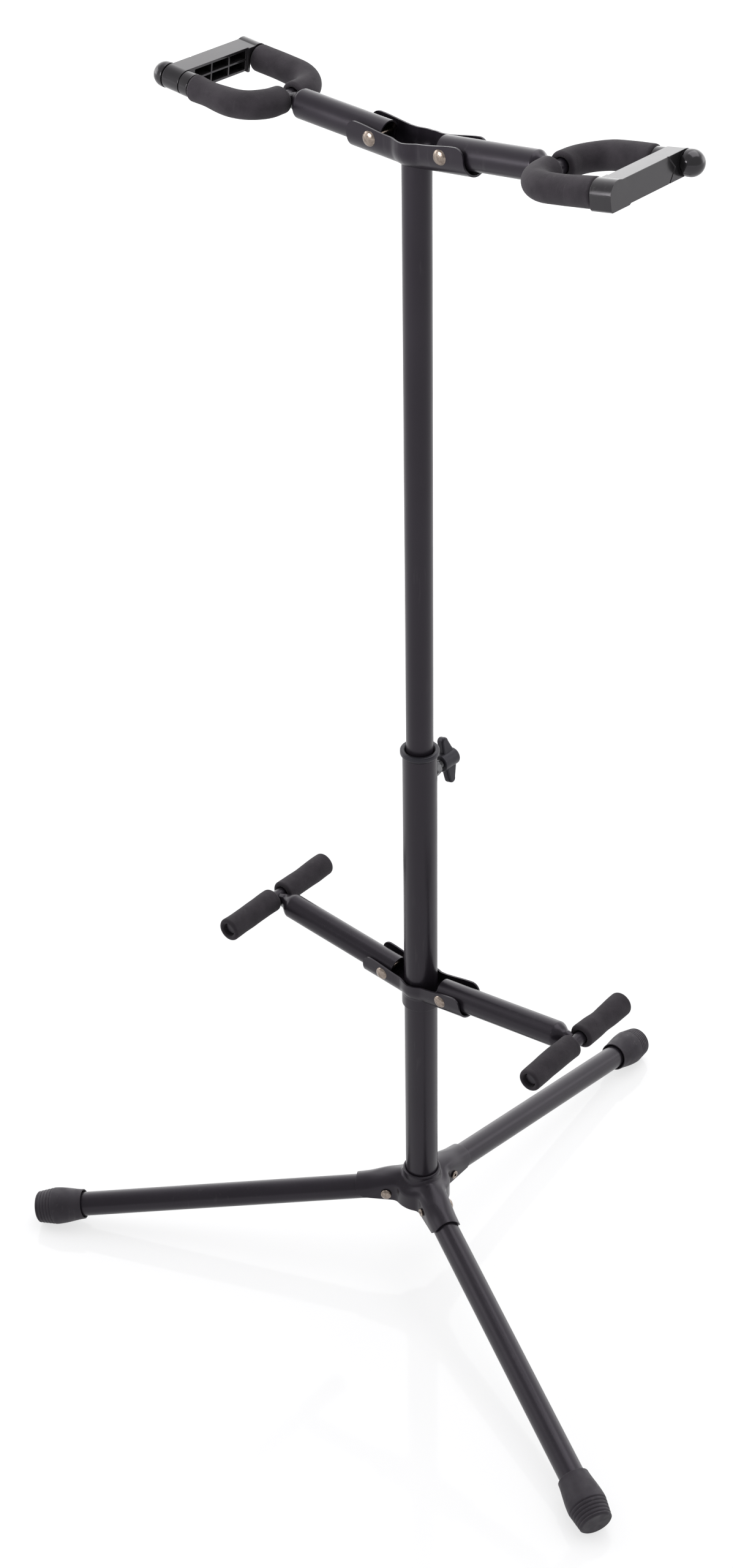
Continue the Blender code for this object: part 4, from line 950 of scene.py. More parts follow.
    def screw(self, clamp: Placement) -> Piece:
        """Threaded screw: radius follows a triangle wave of the height less one pitch a turn.

        Args:
            clamp: axes on the clamp.

        Returns:
            The piece.
        """
        tip = self.inner.outer / 2 + PLAY
        end = self.outer.outer / 2 + self.standoff + self.knob_bore - PLAY
        angle = np.linspace(0.0, TURN, 48, endpoint=False)[:, None]
        height = np.linspace(tip + self.screw_taper, end, 150)
        wave = np.abs(((height / self.thread_pitch - angle / TURN) % 1.0) * 2.0 - 1.0)
        radius = self.screw_radius - self.thread_depth * wave
        thread = np.stack([radius * np.cos(angle), radius * np.sin(angle), height + 0 * angle], -1)
        nose = turned_grid(np.array([(0.0, tip), (self.screw_nose, tip)]), 48)
        crown = turned_grid(np.array([(self.screw_crown, end), (0.0, end)]), 48)
        grid = np.concatenate([nose, thread, crown], axis=1)
        return Skin("clamp_thread").add(clamp.world(grid), wrap_rows=True).piece()

    def knob(self, clamp: Placement) -> Piece:
        """Wing knob: a turned hub with an elliptical dome, joined to the blade of its two wings.

        Args:
            clamp: axes on the clamp.

        Returns:
            The piece.
        """
        boss = self.outer.outer / 2 + self.standoff
        shoulder = boss + self.knob_length - self.knob_dome
        hub, hole, floor = self.knob_radius, self.screw_radius + PLAY, boss + self.knob_bore
        dome = arc((0.0, shoulder), hub, math.pi / 2, 0.0, 12, self.knob_dome)
        body = np.array([(hub, boss + self.knob_edge), (hub - self.knob_edge, boss), (hole, boss),
                         (hole, floor), (0.0, floor)])
        knob = turned_piece("wing_knob_body", np.concatenate([dome, body]), 64, clamp)
        combine(knob, [self.blade(boss + self.wing_offset, shoulder, clamp)], "UNION")
        return knob

    def blade(self, inner: float, shoulder: float, clamp: Placement) -> Piece:
        """Blade across the knob, whose wings taper from its shoulders to half circles at their ends.

        Args:
            inner: distance of the wings' near side from the column's axis.
            shoulder: distance at which their far side meets the hub.
            clamp: axes on the clamp.

        Returns:
            The blade, turned on the screw as it is in the photograph.
        """
        hub = self.knob_radius
        end = (self.wing_span / 2 - self.wing_end, inner + self.wing_depth / 2)
        right = np.concatenate([[(hub, inner)],
                                arc(end, self.wing_end, -math.pi / 2, math.pi / 2, 12),
                                [(hub - self.wing_shoulder, shoulder)]])
        left = right[::-1] * [-1.0, 1.0]
        outline = softened(np.concatenate([right, left]), self.wing_corner, 3, True)
        x, y, z = clamp.axes
        along = math.cos(self.wing_turn) * x - math.sin(self.wing_turn) * y
        flat = Placement(clamp.origin, np.stack([along, z, np.cross(along, z)]))
        half = self.wing_width / 2
        blade = extruded_piece("wing_blade", outline, -half, half, flat)
        soften_edges(blade, self.wing_edge, 4, 50.0)
        return blade


@dataclass(frozen=True)
class TripodHub:
    """Pressed hub: one sheet with three downward channels, hollow bays and a neck round the column."""

    wall: float = 1.8 * MM
    turn: float = math.radians(1.8)
    arm_azimuths: tuple[float, ...] = (-150.0, -30.0, 90.0)
    arm_reach: float = 60.0 * MM
    half_width: float = 13.2 * MM
    skirt: float = 25.3 * MM
    fillet: float = 8.0 * MM
    shoulder: float = 4.0 * MM
    tip_length: float = 8.0 * MM
    web_slope: float = math.radians(15.0)
    bay_sag: float = 7.0 * MM
    edge_below: float = 6.9 * MM
    corner_cutback: float = 7.5 * MM
    corner_height: float = 10.5 * MM
    neck: float = 16.7 * MM
    neck_rise: float = 4.5 * MM
    neck_fillet: float = 2.5 * MM
    column_radius: float = 14.3 * MM
    seam_overlap: float = 0.2 * MM
    seam_height: float = 1.3 * MM
    rim: float = 0.35 * MM
    leg_slope: float = math.radians(11.04)
    pivot_radius: float = 31.0 * MM
    rivet_head: float = 10.0 * MM

    def axis_height(self, radius: Array | float) -> Array | float:
        """Height of a leg's centre line over the pivots' plane."""
        return (self.pivot_radius - radius) * math.tan(self.leg_slope)

    def web_height(self, radius: Array | float) -> Array | float:
        """Height of the ridge of an arm, which closes on the leg tube at the arm's end.

        Args:
            radius: distance from the column's axis.

        Returns:
            The height over the pivots' plane.
        """
        over_tube = self.half_width / math.cos(self.leg_slope) + PLAY
        rise = (self.arm_reach - radius) * math.tan(self.web_slope)
        return self.axis_height(self.arm_reach) + over_tube + rise

    def columns(self) -> tuple[Array, Array, Array, float]:
        """Half a bay's outline, as edge points, inward directions and depths.

        The edge runs in along the arm, round a hollow fillet that touches both the arm's wall and the
        skirt's circle, and along the skirt. Each column runs inwards to the arm's centre line, or to the
        neck's circle by the quadratic for a line that meets a circle.

        Returns:
            Edge points, inward directions, depths, and the X at which the fillet starts.
        """
        centre_y = self.half_width + self.fillet
        centre_x = math.sqrt((self.skirt + self.fillet) ** 2 - centre_y ** 2)
        x = np.linspace(self.arm_reach, centre_x, 15)[:-1]
        arm_edge = np.stack([x, np.full_like(x, self.half_width)], -1)
        arm_inward = np.tile([0.0, -1.0], (len(x), 1))
        arm_depth = np.full_like(x, self.half_width)
        to_corner = math.atan2(-centre_y, self.neck - centre_x)
        to_axis = math.atan2(-centre_y, -centre_x)
        on_arm = np.linspace(-math.pi / 2, to_corner, 9)
        angle = np.concatenate([on_arm, np.linspace(to_corner, to_axis, 9)[1:]])
        inward = np.stack([np.cos(angle), np.sin(angle)], -1)
        edge = np.array([centre_x, centre_y]) + self.fillet * inward
        along = np.sum(edge * inward, axis=1)
        beyond = np.sum(edge * edge, axis=1) - self.neck ** 2
        to_neck = -along - np.sqrt(np.maximum(along ** 2 - beyond, 0.0))
        to_line = -edge[:, 1] / inward[:, 1]
        depth = np.where(np.arange(len(angle)) < len(on_arm), to_line, to_neck)
        azimuth = np.linspace(math.atan2(centre_y, centre_x), math.pi / 3, 11)[1:]
        outward = np.stack([np.cos(azimuth), np.sin(azimuth)], -1)
        bay_depth = np.full_like(azimuth, self.skirt - self.neck)
        return (np.concatenate([arm_edge, edge, self.skirt * outward]),
                np.concatenate([arm_inward, inward, -outward]),
                np.concatenate([arm_depth, depth, bay_depth]), centre_x)

    def surface_height(self, spot: Array, depth: Array, shoulder: Array) -> Array:
        """Height of the pressed sheet.

        It is the web's height, less a sag in the bays that follows one minus the cosine of three times
        the azimuth, less a quarter circle over the shoulder, plus a fillet up to the neck.

        Args:
            spot: places in plan.
            depth: their distances in from the edge.
            shoulder: radius of the shoulder there.

        Returns:
            The heights.
        """
        radius = np.hypot(spot[..., 0], spot[..., 1])
        azimuth = np.arctan2(spot[..., 1], spot[..., 0])
        fade = 1.0 - smoothstep(self.skirt, self.arm_reach - self.tip_length, radius)
        sag = self.bay_sag * radius / self.skirt * fade * (1.0 - np.cos(3.0 * azimuth)) / 2
        height = self.web_height(radius) - sag
        short = shoulder - np.minimum(depth, shoulder)
        height = height + np.sqrt(np.maximum(shoulder ** 2 - short ** 2, 0.0)) - shoulder
        missing = np.clip(self.neck_fillet - (radius - self.neck), 0.0, self.neck_fillet)
        return height + self.neck_fillet - np.sqrt(self.neck_fillet ** 2 - missing ** 2)

    def half_bay(self) -> tuple[Array, Array]:
        """Skin of half a bay.

        The walls stand under the web's edge, and on the arm they are drawn back towards the foot by the
        square of the depth, so that the arm's end slopes.

        Returns:
            Grids of the walls with the web, and of the neck above them.
        """
        edge, inward, depth, fillet_x = self.columns()
        spread = smoothstep(self.skirt, self.arm_reach - self.tip_length, np.hypot(*edge.T))
        shoulder = (self.shoulder + (self.half_width - self.shoulder) * spread)[:, None]
        angle = np.linspace(0.0, math.pi / 2, 17)
        run = depth[:, None] * (1.0 - np.cos(angle))
        spot = edge[:, None] + inward[:, None] * run[..., None]
        web = np.concatenate([spot, self.surface_height(spot, run, shoulder)[..., None]], -1)
        climb = np.linspace(0.0, 1.0, 8)[:-1]
        foot = -self.edge_below
        walls = np.concatenate([np.repeat(web[:, :1, :2], len(climb), axis=1),
                                (foot + (web[:, :1, 2] - foot) * climb)[..., None]], -1)
        sheet = np.concatenate([walls, web], axis=1)
        on_arm = (edge[:, 0] > fillet_x + MERGE) & (np.abs(edge[:, 1] - self.half_width) < MERGE)
        start = self.axis_height(self.arm_reach) + self.corner_height
        short = np.clip((start - sheet[..., 2]) / (start + self.edge_below), 0.0, 1.0)
        end = self.arm_reach - self.corner_cutback * short ** 2
        drawn = fillet_x + (sheet[..., 0] - fillet_x) * (end - fillet_x) / (self.arm_reach - fillet_x)
        sheet[..., 0] = np.where(on_arm[:, None], drawn, sheet[..., 0])
        return sheet, self.neck_skin(web[:, -1])

    def top(self) -> float:
        """Height of the neck's upper rim over the pivots' plane."""
        return self.web_height(self.neck) + self.neck_rise

    def neck_skin(self, inner: Array) -> Array:
        """Upright skin of the neck over half a bay.

        Args:
            inner: the web's inner edge, some of whose points lie on the neck's circle.

        Returns:
            A grid of rows that rise in even steps from those points to the neck's rim.
        """
        at_neck = np.abs(np.hypot(inner[:, 0], inner[:, 1]) - self.neck) < 5 * MERGE
        base = inner[at_neck][:, None]
        rise = np.linspace(0.0, 1.0, 6)
        heights = base[..., 2] + (self.top() - base[..., 2]) * rise
        return np.concatenate([np.repeat(base[..., :2], len(rise), axis=1), heights[..., None]], -1)

    def build(self, shop: Workshop, axis: Placement, legs: dict[Side, Placement]) -> None:
        """Build the hub's sheet, the bead between its neck and the column, and its three rivets.

        Args:
            shop: dresses the pieces.
            axis: the column's axis.
            legs: the legs' placements by side.
        """
        centre = axis.moved(z=legs[Side.BACK].origin[2])
        skin = Skin("pressed_hub")
        for azimuth in self.arm_azimuths:
            turn = math.radians(azimuth) + self.turn
            turned = np.array([(math.cos(turn), math.sin(turn), 0.0),
                               (-math.sin(turn), math.cos(turn), 0.0), UP])
            for mirror in (1.0, -1.0):
                for grid in self.half_bay():
                    spun = (grid * [1.0, mirror, 1.0]) @ turned
                    skin.add(centre.world(spun), flip=mirror < 0.0)
        hub = skin.piece(closed=False)
        thicken(hub, self.wall)
        soften_edges(hub, self.rim, 2, 60.0)
        shop.finish(hub, "base", Slot.STEEL, ["tripod_hub"])
        middle = (self.column_radius + self.neck) / 2
        ring = arc((middle, self.top()), self.neck - middle + self.seam_overlap, 0.0, TURN, 24,
                   self.seam_height)[:-1]
        shop.finish(turned_piece("hub_seam", ring, 96, centre, True), "base", Slot.STEEL)
        for side, leg in legs.items():
            across = leg.axes[1]
            level = Placement(leg.origin, np.stack([np.cross(across, UP), across, UP])).along_y()
            pin = Rivet().piece(f"hub_rivet_{side.value}", self.rivet_head, self.half_width, level)
            shop.finish(pin, "base", Slot.NICKEL, [f"leg_rivet_{side.value}"])


@dataclass(frozen=True)
class Leg:
    """A folding leg: its tube and the rubber boot on its end."""

    tube: TubeShape = TubeShape(22.2 * MM, 1.2 * MM)
    slope: float = math.radians(11.04)
    reach: float = 337.6 * MM
    stub: float = 6.5 * MM
    boot_length: float = 45.0 * MM
    end_wall: float = 3.5 * MM
    mouth: float = 13.7 * MM
    bell: float = 17.0 * MM
    bell_from_mouth: float = 27.9 * MM
    taper_end: float = 14.5 * MM
    face: float = 13.2 * MM
    lip_recess: float = 1.2 * MM
    lip_depth: float = 3.0 * MM
    ribs: int = 5
    rib_depth: float = 0.55 * MM
    rib_steps: int = 12
    face_edge: float = 0.8 * MM
    mouth_edge: float = 0.7 * MM

    def placement(self, side: Side) -> Placement:
        """Axes on the leg's pivot, with X down along the leg."""
        return hinge_placement(f"leg_fold_{side.value}", -self.slope)

    def boot_profile(self) -> Array:
        """Boot from its end face back to the mouth and down the bore.

        The taper carries grooves whose depth is a sine to the sixth power, and the bell runs down to the
        mouth as a cosine to the power 1.5.

        Returns:
            Points of radius and distance from the mouth.
        """
        corner = self.boot_length - (self.taper_end - self.face)
        share = np.linspace(0.0, 1.0, self.ribs * self.rib_steps + 1)
        groove = self.rib_depth * np.sin(share * self.ribs * math.pi) ** 6 * (share > 0) * (share < 1)
        taper = np.stack([self.taper_end + (self.bell - self.taper_end) * share - groove,
                          corner + (self.bell_from_mouth - corner) * share], -1)
        swell = np.linspace(1.0, 0.0, 25)[1:]
        flare = np.cos((1.0 - swell) * math.pi / 2) ** 1.5
        bell = np.stack([self.mouth + (self.bell - self.mouth) * flare, self.bell_from_mouth * swell], -1)
        bore = self.tube.outer / 2 + PLAY
        floor = self.boot_length - self.end_wall
        face = softened(np.array([(0.0, self.boot_length), (self.face, self.boot_length),
                                  (self.taper_end, corner)]), self.face_edge, 4)
        mouth = softened(np.array([bell[-2], (self.mouth, 0.0), (bore + self.lip_recess, 0.0),
                                   (bore, self.lip_depth), (bore, floor), (0.0, floor)]),
                         self.mouth_edge, 3)
        return np.concatenate([face[:-1], taper, bell[:-2], mouth])

    def build(self, shop: Workshop, side: Side) -> None:
        """Build one leg, with its boot trimmed level where it stands on the floor.

        Args:
            shop: dresses the pieces.
            side: left, right or back.
        """
        at = side.value
        pivot = self.placement(side)
        end = self.reach - self.end_wall - PLAY
        tube = self.tube.piece(f"leg_{at}_tube", -self.stub, end, pivot.along_x())
        carve(tube, [pin_hole(f"leg_{at}_hole", Rivet().hole / 2, self.tube.outer, pivot)])
        shop.finish(tube, f"leg_{at}", Slot.STEEL, [f"leg_tube_{at}"])
        start = pivot.moved(x=self.reach - self.boot_length)
        grid = start.along_x().world(turned_grid(self.boot_profile(), 96))
        grid[..., 2] = np.maximum(grid[..., 2], 0.0)
        boot = Skin(f"boot_{at}").add(grid, wrap_rows=True).piece()
        shop.finish(boot, f"leg_{at}", Slot.RUBBER, [f"leg_boot_{at}"])


@dataclass(frozen=True)
class Cradle:
    """Pressed cradle: two plates joined by a round bottom, bulged round its tube, for two arms."""

    tube: float
    slope: float
    height: float
    wall: float = 1.5 * MM
    radius: float = 13.5 * MM
    reach: float = 52.5 * MM
    lip: float = 1.5 * MM
    corner: float = 8.2 * MM
    top_middle: float = 6.8 * MM
    top_end: float = 8.7 * MM
    bulge_radius: float = 16.6 * MM
    softness: float = 1.6 * MM
    bulge_length: float = 14.5 * MM
    pivot_reach: float = 31.8 * MM
    rivet_head: float = 11.6 * MM
    bore_slack: float = 0.15 * MM
    bead: float = 1.3 * MM
    bead_offset: float = 0.2 * MM
    bead_span: float = 1.05
    bead_ripples: float = 17.0
    bead_ripple: float = 0.13
    neck_wall: float = 1.9 * MM
    neck_drop: float = 19.6 * MM
    neck_flare: float = 0.5 * MM
    neck_edge: float = 0.6 * MM

    @classmethod
    def on_pivot(cls, pivot: Placement, tube: TubeShape, slope: float) -> "Cradle":
        """The cradle round a tube that puts its arms' rivets at a pivot's height."""
        rise = cls.pivot_reach * math.tan(slope)
        return cls(tube.outer, slope, float(pivot.origin[2]) - rise)

    def bore(self) -> float:
        """Radius of the holes for the column."""
        return self.tube / 2 + self.bore_slack

    def half_width(self, x: Array) -> Array:
        """Half width of the skin at a distance from the column.

        It is the soft maximum of the plates' half width and of a circle round the column tube: half of
        their sum and of the root of their difference squared plus a small softness squared.

        Args:
            x: distance from the column's axis.

        Returns:
            The half width.
        """
        round_tube = self.bulge_radius
        circle = np.sqrt(np.maximum(round_tube ** 2 - x ** 2, 0.0))
        apart = self.radius - circle
        width = (self.radius + circle + np.sqrt(apart ** 2 + self.softness ** 2)) / 2
        return width - (np.sqrt((self.radius - round_tube) ** 2 + self.softness ** 2)
                        - (round_tube - self.radius)) / 2

    def surface(self, share: Array, lift: Array, turn: Array, side: Array) -> Array:
        """Points of the outer skin.

        The end edge is a line with a round top corner and a lip that grows with depth to the power 1.5,
        and both ends rise with the arms' slope.

        Args:
            share: distance from the column as a share of the reach, with the sign of its end.
            lift: height over the arm's axis as a share of the plate's height.
            turn: angle round the bottom, below the axis.
            side: which plate, minus one or one.

        Returns:
            The points, in the column's axes.
        """
        drop = -self.radius * np.sin(turn)
        level = np.where(lift > 0.0, self.top_end * lift, drop)
        over = np.clip(level - (self.top_end - self.corner), 0.0, self.corner)
        reach = self.reach - self.corner + np.sqrt(self.corner ** 2 - over ** 2)
        reach = reach + self.lip * (np.maximum(-level, 0.0) / self.radius) ** 1.5
        x = reach * np.abs(share)
        width = self.half_width(x)
        outwards = smoothstep(self.bulge_length, self.reach - self.corner, x)
        edge = self.top_middle + (self.top_end - self.top_middle) * outwards
        height = np.where(lift > 0.0, edge * lift, drop / math.cos(self.slope))
        height = height + x * math.tan(self.slope)
        return np.stack([x * np.sign(share), side * width * np.cos(turn), height], -1)

    def build(self, shop: Workshop, name: str, body: str, axis: Placement) -> None:
        """Build the cradle, its two rivets, the weld beads under it and the lower one's neck.

        Args:
            shop: dresses the pieces.
            name: "lower" or "upper".
            body: the body that carries it.
            axis: the column's axis.
        """
        centre = axis.moved(z=self.height)
        shop.finish(self.sheet(f"{name}_pressed_cradle", centre), body, Slot.STEEL, [f"{name}_cradle"])
        rise = self.pivot_reach * math.tan(self.slope)
        for side in (Side.LEFT, Side.RIGHT):
            spot = centre.moved(x=side.facing * self.pivot_reach, z=rise)
            x, y, z = spot.axes
            front = Placement(spot.origin, np.stack([x, z, -y]))
            pin = Rivet().piece(f"{name}_cradle_rivet_{side.value}", self.rivet_head, self.radius, front)
            shop.finish(pin, body, Slot.NICKEL, [f"{name}_rivet_{side.value}"])
            bead = self.weld_bead(f"{name}_weld_{side.value}", side.facing, centre)
            shop.finish(bead, body, Slot.STEEL)
        if name == "lower":
            shop.finish(self.neck(f"{name}_cradle_neck", centre), body, Slot.STEEL)

    def sheet(self, name: str, centre: Placement) -> Piece:
        """The pressed sheet: its outer skin, given a wall and bored for the column.

        Args:
            name: the piece's name.
            centre: the column's axis at the cradle's height.

        Returns:
            The piece.
        """
        rise = np.linspace(math.pi / 2, 0.0, 13)
        lifts = 1.0 - self.corner * (1.0 - np.sin(rise)) / self.top_end
        turns = np.linspace(0.0, math.pi / 2, 17)
        lift = np.concatenate([lifts, 0 * turns, 0 * turns[1:], lifts[::-1]])
        turn = np.concatenate([0 * lifts, turns, turns[::-1][1:], 0 * lifts])
        half = len(lifts) + len(turns)
        side = np.concatenate([-np.ones(half), np.ones(half - 1)])
        near = np.linspace(0.0, self.bulge_length, 25)
        far = np.linspace(self.bulge_length, self.reach, 25)[1:]
        out = np.concatenate([near, far]) / self.reach
        share = np.concatenate([-out[::-1], out[1:]])[:, None]
        grid = centre.world(self.surface(share, lift, turn, side))
        piece = Skin(name).add(grid).piece(closed=False)
        thicken(piece, self.wall)
        beyond = 3 * self.radius
        carve(piece, [cylinder_piece("cradle_bore", self.bore(), -beyond, beyond, 96, centre)])
        return piece

    def neck(self, name: str, centre: Placement) -> Piece:
        """The drawn neck under the bulge: a ring round the tube, whose top runs out into the sheet.

        Args:
            name: the piece's name.
            centre: the column's axis at the cradle's height.

        Returns:
            The piece.
        """
        bore = self.bore()
        out = bore + self.neck_wall
        profile = np.array([(bore, -self.neck_drop), (out, -self.neck_drop), (out, -0.62 * self.radius),
                            (out + self.neck_flare, -0.4 * self.radius), (bore, -0.3 * self.radius)])
        return turned_piece(name, softened(profile, self.neck_edge, 4, True), 96, centre, True)

    def weld_bead(self, name: str, sign: float, centre: Placement) -> Piece:
        """A weld bead under the cradle: a rippled bar along part of the tube's line through the bottom.

        The line runs round the tube at its own radius, at the depth that the round bottom has there, and
        the bar's radius ripples with the angle and dies away at both ends.

        Args:
            name: the piece's name.
            sign: which side of the tube it lies on, minus one or one.
            centre: the column's axis at the cradle's height.

        Returns:
            The piece.
        """
        azimuth = np.linspace(-self.bead_span, self.bead_span, 61) + (0.0 if sign > 0 else math.pi)
        radius = self.tube / 2 + self.bead_offset
        x, y = radius * np.cos(azimuth), radius * np.sin(azimuth)
        width = self.half_width(np.abs(x))
        depth = self.radius * np.sqrt(np.maximum(1.0 - (y / width) ** 2, 0.0)) / math.cos(self.slope)
        path = np.stack([x, y, np.abs(x) * math.tan(self.slope) - depth], -1)
        share = np.linspace(-1.0, 1.0, 61)
        ripple = 1.0 + self.bead_ripple * np.abs(np.sin(azimuth * self.bead_ripples))
        thick = self.bead * ripple * np.sqrt(1.0 - share ** 6 * 0.98)
        along = np.gradient(path, axis=0)
        along /= np.linalg.norm(along, axis=1)[:, None]
        out = np.stack([np.cos(azimuth), np.sin(azimuth), 0 * azimuth], -1)
        other = np.cross(along, out)
        angle = np.linspace(0.0, TURN, 14, endpoint=False)[None, :, None]
        ring = np.cos(angle) * out[:, None] + np.sin(angle) * other[:, None]
        grid = path[:, None] + thick[:, None, None] * ring
        return Skin(name).add(centre.world(grid), wrap_columns=True, caps=True).piece()


@dataclass(frozen=True)
class ArmTube:
    """An arm's tube: round at its pivot, pinched between the foams and coped on to its cross rod."""

    outer: float = 22.2 * MM
    wall: float = 1.2 * MM
    stub: float = 6.3 * MM
    cradle_slack: float = 0.55 * MM
    fold: float = math.radians(86.0)
    rod: float = 11.0 * MM
    pinch_end: float = 8.2 * MM
    pinch_length: float = 7.5 * MM
    pinch_half_width: float = 5.0 * MM
    pinch_height: float = 14.5 * MM
    tip_height: float = 10.0 * MM
    dimple: float = 0.7 * MM
    dimple_length: float = 3.5 * MM
    dimple_width: float = 3.0 * MM
    dimple_place: float = 0.25

    def skin_rows(self, length: float, inset: float) -> Array:
        """Rows of the skin from the heel to the tip.

        Half width and half height pass from the round to the pinch by a smooth step of the distance. The
        heel is cut to a ball about the pivot, so that the arm can fold up inside its round cradle, and
        the tip is cut to the rod's circle. A shallow dimple, Gaussian both ways, is pressed in the top of
        the pinch.

        Args:
            length: distance from the pivot to the cross rod's axis.
            inset: distance inside the tube's outer face.

        Returns:
            The rows, in the pivot's axes.
        """
        radius = self.outer / 2 - inset
        angle = np.linspace(0.0, TURN, 72, endpoint=False)
        end = length - self.pinch_end
        narrow = self.pinch_half_width - inset
        low = self.pinch_height / 2 - inset
        slack = (self.outer / 2 + self.cradle_slack) ** 2 - (self.outer / 2) ** 2
        z = np.maximum(self.outer / 2 * np.sin(angle), 0.0)
        heel = (np.sqrt(slack + z ** 2) + z * math.cos(self.fold)) / math.sin(self.fold)
        round_y, round_z = radius * np.cos(angle), radius * np.sin(angle)
        first = np.stack([-np.minimum(heel, self.stub), round_y, round_z], -1)[None]
        x = np.linspace(0.0, 1.0, 21)[:, None]
        blend = smoothstep(0.0, 1.0, x)
        wide = radius + (narrow - radius) * blend
        high = radius + (low - radius) * blend
        place = end - self.pinch_length * (1.0 - x)
        body = np.stack([place + 0 * angle, wide * np.cos(angle), high * np.sin(angle)], -1)
        from_dimple = body[..., 0] - end + self.dimple_place * self.pinch_length
        pressed = self.dimple * np.exp(-(from_dimple / self.dimple_length) ** 2
                                       - (body[..., 1] / self.dimple_width) ** 2)
        body[..., 2] -= np.where(body[..., 2] > 0.0, pressed, 0.0)
        tip_z = (self.tip_height / 2 - inset) * np.sin(angle)
        cope = np.sqrt((self.rod / 2 + PLAY) ** 2 - tip_z ** 2)
        tip = np.stack([length - cope - PLAY / 2, narrow * np.cos(angle), tip_z], -1)[None]
        return np.concatenate([first, body, tip])

    def piece(self, name: str, length: float, pivot: Placement) -> Piece:
        """The arm's tube along the pivot's X, with its rivet hole.

        Args:
            name: the piece's name.
            length: distance from the pivot to the cross rod's axis.
            pivot: axes on the pivot.

        Returns:
            The piece.
        """
        grid = np.concatenate([self.skin_rows(length, 0.0), self.skin_rows(length, self.wall)[::-1]])
        tube = Skin(name).add(pivot.world(grid), wrap_rows=True, wrap_columns=True).piece()
        carve(tube, [pin_hole(f"{name}_hole", Rivet().hole / 2, self.outer, pivot)])
        return tube


@dataclass(frozen=True)
class Wave:
    """One slow wave over a foam sleeve: its height, and how fast it runs along, round and with phase."""

    height: float
    along: float
    around: float
    phase: float = 1.0
    start: float = 0.0

    def at(self, share: Array, angle: Array | float, phase: float) -> Array:
        """Height times the sine of the start and the three runs."""
        run = self.start + self.along * share + self.around * angle + self.phase * phase
        return self.height * np.sin(run)


WAVES = (Wave(1.0, 7.1, 0.0), Wave(0.7, 12.7, 0.0, 2.3), Wave(0.8, 2.5, 2.0, start=math.pi / 2),
         Wave(0.35, -9.0, 3.0), Wave(0.25, 23.0, 5.0, 1.7))
BOW = Wave(1.0, 5.3, 0.0, 1.3)  # of a sleeve's centre line
WAIST_WIDTH = 0.14  # of a sleeve's waist, as a share of its length


@dataclass(frozen=True)
class Squeeze:
    """How one foam sleeve differs from a true one.

    swell is the depth of its slow waves and waist that of its waist, as shares of its radius. phase
    shifts the waves, waist_at is the waist's place as a share of the length, ends scale the radius at
    the start and the end, and drift bows the centre line, in metres.
    """

    swell: float = 0.025
    phase: float = 0.0
    waist: float = 0.0
    waist_at: float = 0.5
    ends: tuple[float, float] = (1.0, 1.0)
    drift: float = 0.4 * MM


REST_SQUEEZES: dict[Side, dict[str, Squeeze]] = {
    Side.LEFT: {"front": Squeeze(phase=0.4), "back": Squeeze(phase=2.1)},
    Side.RIGHT: {"front": Squeeze(phase=4.0, ends=(1.0, 0.95)),
                 "back": Squeeze(phase=1.2, waist=0.07, waist_at=0.45)},
}
YOKE_SQUEEZES: dict[Side, dict[str, Squeeze]] = {
    Side.LEFT: {"front": Squeeze(swell=0.035, phase=5.1, waist=0.08, waist_at=0.8, drift=0.9 * MM),
                "back": Squeeze(phase=3.3)},
    Side.RIGHT: {"front": Squeeze(phase=0.9), "back": Squeeze(phase=2.8)},
}


